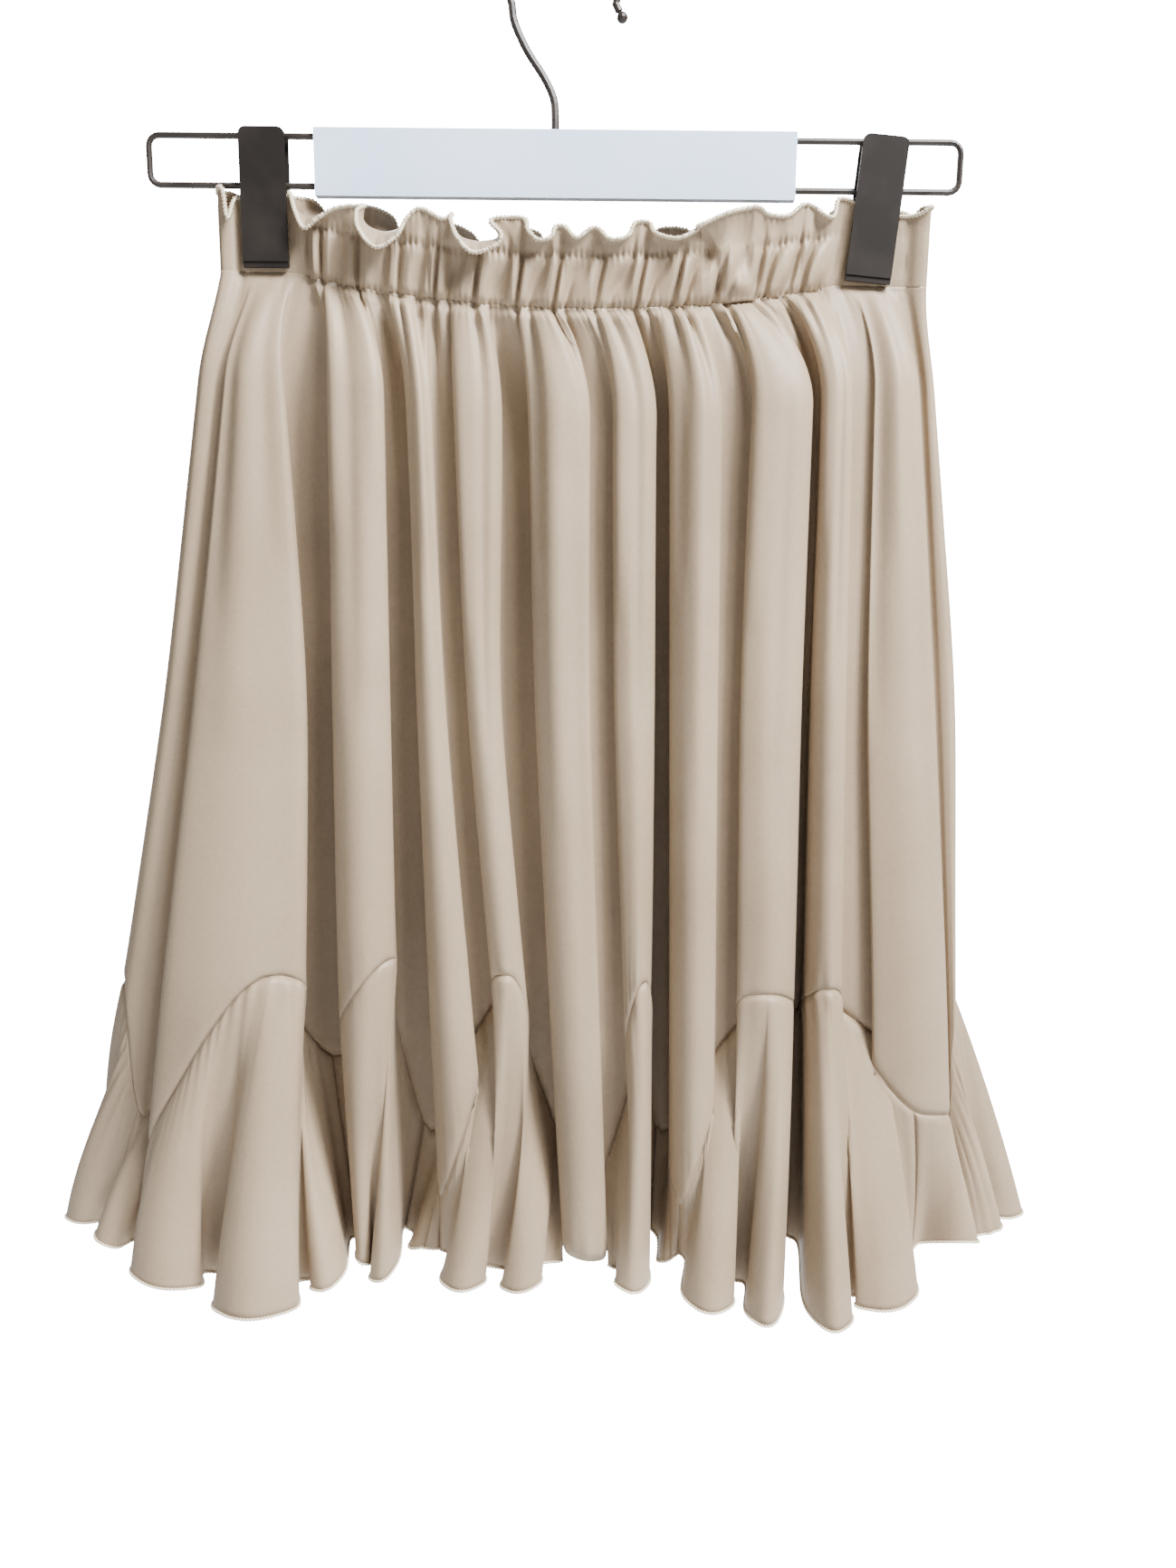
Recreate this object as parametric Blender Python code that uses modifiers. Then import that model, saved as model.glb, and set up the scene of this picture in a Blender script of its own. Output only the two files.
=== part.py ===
"""Gathered skirt with godets in its hem, held by a two-clip wire hanger.

Metres, +Z up. The front of the skirt faces -Y and +X is to the right as seen from the front.
The origin is the inner top of the hook, where a rail carries it. The tables of the cloth are
in millimetres: "across" runs from left to right as seen from outside the panel, and "out" is
the distance from the hanger's plane towards the viewer.
"""
import math
from collections import namedtuple

import bmesh
import bpy
from mathutils import Vector

MM = 0.001

# Driving dimensions of the cloth
CLOTH = 1.2 * MM
SEAM_GAP = 0.3 * MM
EDGE_GAP = 0.9 * MM
CASING = 22.2 * MM
SIDE_TRIM = 0.6 * MM
SEAM_HEM = -606
MITRE_LIMIT = 0.4
WALL_MITRE = 0.8
NECK = 3 * MM
NECK_RISE = 0.1
FOLD_SHOULDER = 0.22
SHOULDER_RISE = 0.93
FOLD_EDGE_RISE = 0.62
LEVELS = (-190 * MM, -330 * MM, -460 * MM)
GATHER_DROP = 55 * MM
PUCKER = 1.5 * MM
PINCH = 0.75 * MM
FLARE_POWER = 1.3
FAN_POWER = 1.5
ARCH_POWER = 1.4

# Driving dimensions of the hanger
WIRE = 1.4 * MM
HOOK_WIRE = 1.7 * MM
HOOK_RADIUS = 24.6 * MM
HOOK_CENTRE_Z = -22.9 * MM
STEM_X = -3.4 * MM
LOOP_LEFT = -182 * MM
LOOP_RIGHT = 175 * MM
LOOP_TOP = -87 * MM
LOOP_BOTTOM = -107.4 * MM
LOOP_CORNER = 4.5 * MM
PLATE_WIDTH = 20.2 * MM
PLATE_THICK = 1.2 * MM
PLATE_INNER = 3.3 * MM
JAW_FACE = 1.65 * MM
JAW_HEIGHT = 6 * MM
SPRING_RADIUS = 2.4 * MM
SPRING_WIRE = 0.6 * MM

# Where the flat cloth in the clips begins and ends, and how far the waist bows out between them
BOW_LEFT = -118 * MM
BOW_RIGHT = 121 * MM

Fold = namedtuple("Fold", "name left right crown valley")
Heading = namedtuple("Heading", "column height lean")
Edge = namedtuple("Edge", "column z")
Lobe = namedtuple("Lobe", "left right crown valley")
Godet = namedtuple("Godet", "name run apex facing start end hem_z lobes")
Strip = namedtuple("Strip", "position top normal foot foot_z")
Side = namedtuple("Side", "name turn waist ends folds first_valley edge bow sag heading")

# Each fold: its left and right edge at the three levels, then how far out its crown and the
# valley to its right stand, at the top and the low level
FRONT_FOLDS = (
    Fold("A", (-150, -168, -187), (-124, -117, -120), (17, 40), (12, 17)),
    Fold("B", (-103, -104, -104), (-78, -77, -76), (25, 46), (16, 22)),
    Fold("C", (-69, -65, -61), (-57, -51, -41), (27, 47), (23, 36)),
    Fold("D", (-47, -42, -31), (-25, -27, -15), (28, 47), (16, 34)),
    Fold("E", (-14, -11, -4), (13, 14, 19.5), (31, 52), (25, 42)),
    Fold("F", (23, 25, 31), (42, 44, 45), (29, 48), (15, 16)),
    Fold("G", (48, 50.5, 53), (71, 72, 74), (30, 50), (24, 42)),
    Fold("G2", (84, 82, 84), (111.5, 111, 112.5), (29, 50), (13, 14)),
    Fold("H", (116, 115.5, 117.5), (129, 131, 134), (24, 45), (19, 34)),
    Fold("I", (139, 141, 149), (160, 174, 186), (18, 36), (9, 16)),
)
BACK_FOLDS = (
    Fold("K", (-158, -172, -184), (-126, -128, -132), (16, 36), (13, 15)),
    Fold("L", (-118, -119, -121), (-92, -90, -88), (22, 42), (15, 18)),
    Fold("M", (-82, -79, -76), (-54, -50, -44), (25, 46), (20, 32)),
    Fold("N", (-44, -40, -34), (-18, -14, -8), (26, 48), (14, 16)),
    Fold("O", (-8, -5, 0), (20, 22, 28), (27, 50), (20, 36)),
    Fold("P", (32, 34, 38), (60, 62, 66), (26, 47), (20, 34)),
    Fold("Q", (70, 71, 74), (98, 100, 106), (23, 44), (14, 16)),
    Fold("R", (108, 112, 120), (146, 158, 178), (17, 38), (9, 19)),
)

# The heading above the casing: at each column its height, and how far it leans out in degrees
FRONT_HEADING = (
    Heading(0, 11, 0), Heading(2, 15, 15), Heading(4, 11, 0), Heading(10, 11, 0),
    Heading(12, 14, 20), Heading(15, 13, 50), Heading(17, 13, 25), Heading(22, 13, 110),
    Heading(25, 13, 10), Heading(27, 13, -5), Heading(29, 13, 20), Heading(32, 13, 115),
    Heading(35, 13, 15), Heading(37, 13, -5), Heading(40, 13, 75), Heading(42, 13, 85),
    Heading(45, 13, 5), Heading(47, 13, -8), Heading(49, 13, 35), Heading(51, 13, 60),
    Heading(53, 13, 20), Heading(56, 13, 80), Heading(58, 14, 30), Heading(61, 19, 145),
    Heading(64, 16, 70), Heading(67, 13, 0), Heading(69, 13, 50), Heading(71, 13, 15),
    Heading(73, 13, 45), Heading(77, 11.5, 0), Heading(84, 11.5, 0), Heading(86, 13, 12),
    Heading(88, 12, 0),
)
BACK_HEADING = (
    Heading(0, 12, 0), Heading(2, 13, 12), Heading(4, 11.5, 0), Heading(11, 11.5, 0),
    Heading(14, 13, 60), Heading(17, 13, 0), Heading(20, 13, 75), Heading(23, 13, -5),
    Heading(26, 13, 50), Heading(29, 13, 5), Heading(33, 14, 100), Heading(36, 13, 0),
    Heading(39, 13, 65), Heading(42, 13, 10), Heading(46, 13, 90), Heading(49, 13, -5),
    Heading(52, 13, 55), Heading(55, 13, 0), Heading(58, 13, 70), Heading(62, 11, 0),
    Heading(68, 11, 0), Heading(70, 13, 12), Heading(72, 11, 0),
)

# The lower edge of each panel: its highest and lowest points, by column
FRONT_EDGE = (
    Edge(0, -481), Edge(1, -474), Edge(3, -552), Edge(4, -543), Edge(6, -560), Edge(9, -462),
    Edge(12, -521), Edge(18, -453), Edge(20, -562), Edge(21, -546), Edge(22, -584),
    Edge(32, -458), Edge(38, -600), Edge(42, -603), Edge(49, -461), Edge(52, -560),
    Edge(53, -550), Edge(55, -580), Edge(64, -465), Edge(68, -496), Edge(72, -464),
    Edge(80, -531), Edge(82, -535), Edge(84, -574), Edge(88, -479),
)
BACK_EDGE = (
    Edge(0, -479), Edge(4, -556), Edge(9, -468), Edge(12, -540), Edge(17, -460),
    Edge(20, -566), Edge(21, -548), Edge(22, -582), Edge(31, -458), Edge(36, -560),
    Edge(41, -462), Edge(44, -572), Edge(54, -464),
    Edge(60, -556), Edge(64, -470), Edge(68, -556), Edge(72, -481),
)

FRONT = Side("front", 1, (-152.5, 163), ((-164, -186, -212), (169, 188, 196)), FRONT_FOLDS,
             (9, 14), FRONT_EDGE, 24 * MM, 15.5 * MM, FRONT_HEADING)
BACK = Side("back", -1, (-163, 152.5), ((-169, -188, -196), (164, 186, 212)), BACK_FOLDS,
            (9, 19), BACK_EDGE, 18 * MM, 12 * MM, BACK_HEADING)
SIDES = {"front": FRONT, "back": BACK}

# Godets: the run of the panels' lower edge that each hangs from, which point of the run is its
# apex, the way it faces in degrees round from the front, the plan position of its first and
# last seam at the hem, the height of its hem, and its lobes in its own across and out
GODETS = (
    Godet("godet_side_left", (("back", 68, 72), ("front", 0, 3)), 6, 270,
          (-212, 30), (-227, -12), -612,
          (Lobe(-27, -15, 240, 226), Lobe(-9, 9, 256, 0))),
    Godet("godet_short_front_1", (("front", 3, 6),), 1, 315, (-227, -12), (-207, -30), -606,
          (Lobe(-148, -129, 184, 0),)),
    Godet("godet_tall_front_1", (("front", 6, 12),), 3, 0, (-207, -30), (-100, -22), -619,
          (Lobe(-204, -164, 60, 34), Lobe(-156, -126, 76, 46), Lobe(-118, -104, 54, 0))),
    Godet("godet_tall_front_2", (("front", 12, 20),), 6, 0, (-100, -22), (-78, -14), -612,
          (Lobe(-96, -82, 47, 0),)),
    Godet("godet_short_front_2", (("front", 20, 22),), 1, 0, (-78, -14), (-58, -34), -607,
          (Lobe(-74, -64, 32, 0),)),
    Godet("godet_tall_front_3", (("front", 22, 38),), 10, 0, (-58, -34), (3.9, -42.9), -611,
          (Lobe(-55, -33, 66, 40), Lobe(-26, -6, 61, 0))),
    Godet("godet_tall_front_4", (("front", 42, 52),), 7, 0, (25.7, -46.7), (48, -13), -614,
          (Lobe(30.5, 43.5, 61, 0),)),
    Godet("godet_short_front_3", (("front", 52, 55),), 1, 0, (48, -13), (61, -36), -614,
          (Lobe(51, 57.5, 36, 0),)),
    Godet("godet_tall_front_5", (("front", 55, 68),), 9, 0, (61, -36), (116.5, -18), -619,
          (Lobe(65, 86, 72, 46), Lobe(93, 109, 73, 0))),
    Godet("godet_tall_front_6", (("front", 68, 80),), 4, 0, (116.5, -18), (178, -30), -620,
          (Lobe(119.5, 139, 80, 48), Lobe(145, 174, 64, 0))),
    Godet("godet_short_front_4", (("front", 80, 84),), 2, 60, (178, -30), (204, -20), -600,
          (Lobe(67, 81, 198, 0),)),
    Godet("godet_side_right", (("front", 84, 88), ("back", 0, 4)), 4, 90,
          (204, -20), (205, 30), -602,
          (Lobe(-17, -8, 228, 216), Lobe(-1, 11, 244, 227), Lobe(17, 27, 236, 0))),
    Godet("godet_tall_back_1", (("back", 4, 12),), 5, 180, (205, 30), (112, 22), -612,
          (Lobe(-195, -162, 54, 36), Lobe(-153, -117, 66, 0))),
    Godet("godet_tall_back_2", (("back", 12, 20),), 5, 180, (112, 22), (76, 16), -615,
          (Lobe(-108.5, -97, 60, 40), Lobe(-90, -79, 56, 0))),
    Godet("godet_short_back", (("back", 20, 22),), 1, 180, (76, 16), (62, 32), -608,
          (Lobe(-73, -65, 30, 0),)),
    Godet("godet_tall_back_3", (("back", 22, 36),), 9, 180, (62, 32), (6, 16), -616,
          (Lobe(-57, -43, 66, 46), Lobe(-34, -10, 63, 0))),
    Godet("godet_tall_back_4", (("back", 36, 44),), 5, 180, (6, 16), (-36, 34), -614,
          (Lobe(-3, 13, 68, 46), Lobe(20, 32, 60, 0))),
    Godet("godet_tall_back_5", (("back", 44, 60),), 10, 180, (-36, 34), (-114, 18), -617,
          (Lobe(43, 72, 68, 46), Lobe(80, 109, 67, 0))),
    Godet("godet_tall_back_6", (("back", 60, 68),), 4, 180, (-114, 18), (-212, 30), -613,
          (Lobe(118, 156, 62, 38), Lobe(164, 201, 54, 0))),
)

# Rows of a panel: fixed drops below the waist seam, then shares of what is left
PANEL_DROPS = (0, 3, 10, 22, 42, 80, 140)
PANEL_SHARES = (0.35, 0.7, 1)
GODET_ROWS = (0, 0.15, 0.5, 1)

# The end loops of the waist, from the side seam inwards: distance in and out
END_LOOP = ((0, SEAM_GAP / 2), (0, 1.8 * MM), (2 * MM, 3.4 * MM), (5.5 * MM, 2.9 * MM))
LOOP_COLUMNS = len(END_LOOP)
FLAT_START = 9.1 * MM
FOLD_COLUMNS = 8


def ramp(value):
    """0 up to 1 with soft ends."""
    value = min(max(value, 0), 1)
    return value * value * (3 - 2 * value)


def mix(a, b, share):
    return a + (b - a) * share


def at_level(values, z):
    """A folded edge's place at height z, in metres, from its places at the three levels."""
    top, middle, low = LEVELS
    if z >= middle:
        return mix(values[1], values[0], (z - middle) / (top - middle)) * MM
    return mix(values[2], values[1], (z - low) / (middle - low)) * MM


def depth_at(values, z):
    """How far out a crown or valley stands; below the low level it hangs straight."""
    share = min((LEVELS[0] - z) / (LEVELS[0] - LEVELS[2]), 1)
    return mix(values[0], values[1], share) * MM


def column_count(side):
    return 2 * LOOP_COLUMNS + FOLD_COLUMNS * len(side.folds)


def fold_points(start, left, right, crown, end):
    """Seven points from just after one valley to just before the next."""
    low_start = mix(start[1], crown, NECK_RISE)
    low_end = mix(end[1], crown, NECK_RISE)
    shoulder = (right - left) * FOLD_SHOULDER
    return [
        (min(start[0] + NECK, left), low_start),
        (left, mix(start[1], crown, FOLD_EDGE_RISE)),
        (left + shoulder, mix(start[1], crown, SHOULDER_RISE)),
        ((left + right) / 2, crown),
        (right - shoulder, mix(end[1], crown, SHOULDER_RISE)),
        (right, mix(end[1], crown, FOLD_EDGE_RISE)),
        (max(end[0] - NECK, right), low_end),
    ]


def fold_section(side, z):
    """One panel's section at height z, as (across, out), from its left seam to its right."""
    folds = side.folds
    left_end = at_level(side.ends[0], z)
    right_end = at_level(side.ends[1], z)
    lefts = [at_level(fold.left, z) for fold in folds]
    rights = [at_level(fold.right, z) for fold in folds]
    valleys = [(lefts[0] - NECK, depth_at(side.first_valley, z))]
    for index, fold in enumerate(folds):
        following = lefts[index + 1] if index + 1 < len(folds) else rights[index] + 2 * NECK
        valleys.append(((rights[index] + following) / 2, depth_at(fold.valley, z)))
    points = side_points(left_end, valleys[0])
    for index, fold in enumerate(folds):
        points.append(valleys[index])
        crown = depth_at(fold.crown, z)
        points += fold_points(valleys[index], lefts[index], rights[index], crown, valleys[index + 1])
    points.append(valleys[-1])
    return points + side_points(right_end, valleys[-1])[::-1]


def side_points(end, valley):
    """The rounded side of the skirt, from the side seam towards the first valley."""
    bulge = valley[1] + 2 * MM
    return [
        (end, SEAM_GAP / 2),
        (end, 0.5 * bulge),
        (mix(end, valley[0], 0.3), bulge),
        (mix(end, valley[0], 0.7), bulge),
    ]


def bow_share(side, across):
    """0 in the clips and beyond them, 1 at the middle of the waist."""
    x = across * side.turn
    share = (x - BOW_LEFT) / (BOW_RIGHT - BOW_LEFT)
    if not 0 < share < 1:
        return 0
    return math.sin(math.pi * share) ** 0.9


def waist_point(side, column):
    """(across, out) of the waist at one column, before its puckers."""
    last = column_count(side)
    left, right = (value * MM for value in side.waist)
    if column < LOOP_COLUMNS:
        inwards, out = END_LOOP[column]
        return left + inwards, out
    if column > last - LOOP_COLUMNS:
        inwards, out = END_LOOP[last - column]
        return right - inwards, out
    share = (column - LOOP_COLUMNS) / (last - 2 * LOOP_COLUMNS)
    across = mix(left + FLAT_START, right - FLAT_START, share)
    return across, PINCH + side.bow * bow_share(side, across)


def pucker(side, column):
    """The zigzag of the gathers, none where the clips press the cloth flat."""
    if column < LOOP_COLUMNS or column > column_count(side) - LOOP_COLUMNS:
        return 0
    out = waist_point(side, column)[1]
    return PUCKER * min((out - PINCH) / (3 * MM), 1) * (-1) ** column


def seam_height(side, column):
    """The seam between casing and panel: it sags between the clips."""
    across = waist_point(side, column)[0]
    x = across * side.turn
    level = mix(-144.0 * MM, -148.0 * MM, (x + 152.5 * MM) / (315.5 * MM))
    return level - side.sag * bow_share(side, across) ** 0.9


def between(rows, column, field):
    """A table's value at a column, straight between its rows."""
    for low, high in zip(rows, rows[1:]):
        if low.column <= column <= high.column:
            share = (column - low.column) / (high.column - low.column)
            return mix(getattr(low, field), getattr(high, field), share)
    raise ValueError(column)


def edge_height(side, column):
    """The panel's lower edge: round at each high point and pointed at each low one."""
    for start, end in zip(side.edge, side.edge[1:]):
        if start.column <= column <= end.column:
            high, low = (start, end) if start.z > end.z else (end, start)
            if high.z == low.z:
                return high.z * MM
            share = abs(column - high.column) / (end.column - start.column)
            return mix(high.z, low.z, share ** ARCH_POWER) * MM
    raise ValueError(column)


def place(side, across, out, z):
    """A point of the front or back panel in the world."""
    return Vector((side.turn * across, -side.turn * out, z))


def panel_point(side, column, z):
    """The panel's point at a column and height, blended from the waist into the folds."""
    drop = seam_height(side, column) - z
    across, out = fold_section(side, z)[column]
    waist_across, waist_out = waist_point(side, column)
    share = ramp((drop - 3 * MM) / GATHER_DROP)
    gather = pucker(side, column) * (1 - ramp((drop - 3 * MM) / (2 * GATHER_DROP)))
    return place(side, mix(waist_across, across, share),
                 mix(waist_out, out, share) + gather, z)


def square_to(before, point, after):
    """The level direction square to a section at one of its points, longer in a sharp bend."""
    steps = [(b - a).xy for a, b in ((before, point), (point, after)) if (b - a).xy.length > 0]
    along = sum((step.normalized() for step in steps), Vector((0, 0))) / len(steps)
    return Vector((along.y, -along.x, 0)).normalized() / max(along.length, WALL_MITRE)


def panel_normal(side, column, z):
    before = panel_point(side, max(column - 1, 0), z)
    after = panel_point(side, min(column + 1, column_count(side)), z)
    return square_to(before, panel_point(side, column, z), after)


def panel_grid(side):
    """Rows of points with their normals, the waist seam first and the cut lower edge last."""
    columns = range(column_count(side) + 1)
    heights = [[seam_height(side, c) - SEAM_GAP / 2 - drop * MM for c in columns]
               for drop in PANEL_DROPS]
    for share in PANEL_SHARES:
        heights.append([mix(start, edge_height(side, c), share)
                        for c, start in zip(columns, heights[len(PANEL_DROPS) - 1])])
    return [[(panel_point(side, c, z), panel_normal(side, c, z)) for c, z in zip(columns, row)]
            for row in heights]


def waistband_grid(side):
    """Rows of points from the waist seam up the casing and out along the leaning heading."""
    columns = range(column_count(side) + 1)
    rows = [[], [], [], [], []]
    for c in columns:
        across, out = waist_point(side, c)
        base = seam_height(side, c)
        height = between(side.heading, c, "height") * MM / 2
        lean = math.radians(between(side.heading, c, "lean"))
        fold = pucker(side, c)
        top = base + CASING
        middle_out = out + 0.4 * fold + height * math.sin(lean / 3)
        middle_z = top + height * math.cos(lean / 3)
        rows[0].append(place(side, across, out + fold, base + SEAM_GAP / 2))
        rows[1].append(place(side, across, out + fold, base + CASING * 0.5))
        rows[2].append(place(side, across, out + 0.8 * fold, top))
        rows[3].append(place(side, across, middle_out, middle_z))
        rows[4].append(place(side, across, middle_out + height * math.sin(lean),
                             middle_z + height * math.cos(lean)))
    return rows


def add_mesh(name, grid, material, thickness):
    """A sheet through rows of points, given its thickness."""
    mesh = bpy.data.meshes.new(name)
    sheet = bmesh.new()
    rows = [[sheet.verts.new(point) for point in row] for row in grid]
    for upper, lower in zip(rows, rows[1:]):
        for index in range(len(upper) - 1):
            sheet.faces.new((upper[index], lower[index], lower[index + 1], upper[index + 1]))
    sheet.to_mesh(mesh)
    sheet.free()
    thing = bpy.data.objects.new(name, mesh)
    solidify = thing.modifiers.new("Thickness", "SOLIDIFY")
    solidify.thickness = thickness
    solidify.offset = 0
    finish_object(thing, material)
    return thing


def add_wall(name, grid, material):
    """A closed wall of cloth about rows of points, moved to both sides along their normals."""
    mesh = bpy.data.meshes.new(name)
    wall = bmesh.new()
    outer, inner = [[[wall.verts.new(point + normal * half) for point, normal in row]
                     for row in grid] for half in (CLOTH / 2, -CLOTH / 2)]
    for upper, lower, top, bottom in zip(grid, grid[1:], range(len(grid)), range(1, len(grid))):
        for i in range(len(upper) - 1):
            falling = (lower[i + 1][0] - upper[i][0]).length
            rising = (upper[i + 1][0] - lower[i][0]).length
            for layer in (outer, inner):
                a, b = layer[top][i:i + 2]
                c, d = layer[bottom][i:i + 2]
                halves = ((a, c, d), (a, d, b)) if falling < rising else ((a, c, b), (b, c, d))
                for half in halves:
                    wall.faces.new(half)
    rims = [(outer[0], inner[0]), (outer[-1], inner[-1])]
    for end in (0, -1):
        rims.append(([row[end] for row in outer], [row[end] for row in inner]))
    for near, far in rims:
        for i in range(len(near) - 1):
            wall.faces.new((near[i], near[i + 1], far[i + 1], far[i]))
    bmesh.ops.recalc_face_normals(wall, faces=wall.faces)
    wall.to_mesh(mesh)
    wall.free()
    thing = bpy.data.objects.new(name, mesh)
    finish_object(thing, material)
    return thing


def finish_object(thing, material):
    thing.data.materials.append(material)
    if thing.name not in parts.objects:
        parts.objects.link(thing)
    if thing.type == "MESH":
        thing.data.shade_smooth()


def run_entries(godet):
    """The panel columns that a godet hangs from, left to right, as (side, column)."""
    entries = []
    for name, first, last in godet.run:
        side = SIDES[name]
        if entries:
            entries.pop()
        entries += [(side, column) for column in range(first, last + 1)]
    return entries


def run_point(entries, position, z):
    """A point at height z straight below a place between two panel columns."""
    index = min(int(position), len(entries) - 2)
    left = panel_point(*entries[index], z)
    return left.lerp(panel_point(*entries[index + 1], z), position - index)


def hem_chain(godet):
    """Plan points of a godet's hem, as (x, y), through its lobes."""
    angle = math.radians(godet.facing)
    across_axis = Vector((math.cos(angle), math.sin(angle)))
    out_axis = Vector((math.sin(angle), -math.cos(angle)))
    start = Vector(godet.start) * MM
    end = Vector(godet.end) * MM
    valley = (start.dot(across_axis), start.dot(out_axis))
    last = (end.dot(across_axis), end.dot(out_axis))
    points = [valley]
    for index, lobe in enumerate(godet.lobes):
        following = last
        if index + 1 < len(godet.lobes):
            middle = (lobe.right + godet.lobes[index + 1].left) / 2
            following = (middle * MM, lobe.valley * MM)
        points += fold_points(valley, lobe.left * MM, lobe.right * MM, lobe.crown * MM, following)
        points.append(following)
        valley = following
    return [across_axis * across + out_axis * out for across, out in points]


def shares_along(points):
    """Each point's share of the whole length."""
    lengths = [0]
    for a, b in zip(points, points[1:]):
        lengths.append(lengths[-1] + (b - a).length)
    return [length / lengths[-1] for length in lengths]


def position_at(shares, share):
    """The place, in whole points and parts of the way to the next, at a share of the length."""
    for index in range(len(shares) - 1):
        if share <= shares[index + 1]:
            return index + (share - shares[index]) / (shares[index + 1] - shares[index])
    return len(shares) - 1


def value_at(values, position):
    index = min(int(position), len(values) - 2)
    return mix(values[index], values[index + 1], position - index)


def fan(share, power):
    """Spread shares so that most of the hem's length hangs from near the apex."""
    offset = 2 * share - 1
    return 0.5 + 0.5 * math.copysign(abs(offset) ** power, offset)


def seam_moves(entries, heights):
    """How each point of a godet's seam moves off the panel's edge, in whole points and down."""
    levels = []
    squares = []
    for i in range(len(entries) - 1):
        z = mix(heights[i], heights[i + 1], 0.5)
        level = (panel_point(*entries[i + 1], z) - panel_point(*entries[i], z)).length
        levels.append(level)
        squares.append(Vector((heights[i + 1] - heights[i], -level)).normalized())
    moves = []
    for i in range(len(entries)):
        around = squares[max(i - 1, 0):i + 1]
        bisector = sum(around, Vector((0, 0))) / len(around)
        move = bisector.normalized() * EDGE_GAP / max(bisector.length, MITRE_LIMIT)
        along = move.x
        if i == 0:
            along = max(along, SIDE_TRIM)
        if i == len(entries) - 1:
            along = min(along, -SIDE_TRIM)
        level = levels[min(i, len(levels) - 1)] if along > 0 else levels[max(i - 1, 0)]
        moves.append((along / level, move.y))
    return moves


def hem_seam_normal(before, after):
    """The normal that two godets share where their seam meets the hem."""
    return square_to(*(point.to_3d() for point in (before[-2], before[-1], after[1])))


def strip_point(entries, strip, z):
    """A godet's point at height z: on the panel's surface at its seam, at its foot below."""
    share = min(max((strip.top.z - z) / (strip.top.z - strip.foot_z), 0), 1)
    plan = mix(run_point(entries, strip.position, z).xy, strip.foot, share ** FLARE_POWER)
    return Vector((plan.x, plan.y, z))


def godet_grid(index):
    """Rows of points with normals, from the arch that the godet hangs from to its wavy hem."""
    godet = GODETS[index]
    entries = run_entries(godet)
    heights = [edge_height(*entry) for entry in entries]
    run = [panel_point(*entry, z) for entry, z in zip(entries, heights)]
    moves = seam_moves(entries, heights)
    places = [i + move[0] for i, move in enumerate(moves)]
    tops = [z + move[1] for z, move in zip(heights, moves)]
    seam = [run_point(entries, position, z) for position, z in zip(places, tops)]
    seam_normals = [panel_normal(*entry, z) for entry, z in zip(entries, heights)]
    left_shares = shares_along(run[:godet.apex + 1])
    right_shares = shares_along(run[godet.apex:])
    run_shares = [0.5 * s for s in left_shares] + [0.5 + 0.5 * s for s in right_shares[1:]]
    hem = hem_chain(godet)
    before = hem_chain(GODETS[index - 1])
    after = hem_chain(GODETS[(index + 1) % len(GODETS)])
    ends = (hem_seam_normal(before, hem), hem_seam_normal(hem, after))
    hem[0] = hem[0] + (hem[1] - hem[0]).normalized() * SIDE_TRIM
    hem[-1] = hem[-1] + (hem[-2] - hem[-1]).normalized() * SIDE_TRIM
    hem_shares = shares_along(hem)
    columns = [(fan(share, 1 / FAN_POWER), share) for share in run_shares]
    for share in hem_shares:
        if all(abs(share - other) > 0.025 for other, _ in columns):
            columns.append((share, fan(share, FAN_POWER)))
    columns.sort()
    strips = []
    for hem_share, run_share in columns:
        along = position_at(run_shares, run_share)
        foot = value_at(hem, position_at(hem_shares, hem_share))
        foot_z = mix(SEAM_HEM, godet.hem_z, math.sin(math.pi * hem_share)) * MM
        strips.append(Strip(value_at(places, along), value_at(seam, along),
                            value_at(seam_normals, along), foot, foot_z))
    grid = [[(strip.top, strip.normal) for strip in strips]]
    for share in GODET_ROWS[1:]:
        row = []
        for i, strip in enumerate(strips):
            z = mix(strip.top.z, strip.foot_z, share)
            point = strip_point(entries, strip, z)
            if 0 < i < len(strips) - 1:
                normal = square_to(strip_point(entries, strips[i - 1], z), point,
                                   strip_point(entries, strips[i + 1], z))
            else:
                normal = mix(strip.normal, ends[0 if i == 0 else 1], share).normalized()
            row.append((point, normal))
        grid.append(row)
    return grid


def add_material(name, colour, roughness, metallic):
    material = bpy.data.materials.new(name)
    material.use_nodes = True
    surface = material.node_tree.nodes["Principled BSDF"]
    surface.inputs["Base Color"].default_value = (*colour, 1)
    surface.inputs["Roughness"].default_value = roughness
    surface.inputs["Metallic"].default_value = metallic
    return material


def spline_points(route, steps):
    """Points of a smooth curve through a short route."""
    ends = [2 * route[0] - route[1]] + list(route) + [2 * route[-1] - route[-2]]
    points = []
    for index in range(len(route) - 1):
        a, b, c, d = ends[index:index + 4]
        for step in range(steps):
            t = step / steps
            points.append(0.5 * (2 * b + (c - a) * t + (2 * a - 5 * b + 4 * c - d) * t ** 2
                                 + (3 * b - a - 3 * c + d) * t ** 3))
    return points + [route[-1]]


def add_wire(name, points, radius, material, closed=False, resolution=2):
    curve = bpy.data.curves.new(name, "CURVE")
    curve.dimensions = "3D"
    curve.bevel_depth = radius
    curve.bevel_resolution = resolution
    curve.use_fill_caps = True
    spline = curve.splines.new("POLY")
    spline.points.add(len(points) - 1)
    for target, point in zip(spline.points, points):
        target.co = (*point, 1)
    spline.use_cyclic_u = closed
    thing = bpy.data.objects.new(name, curve)
    finish_object(thing, material)
    return thing


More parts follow.
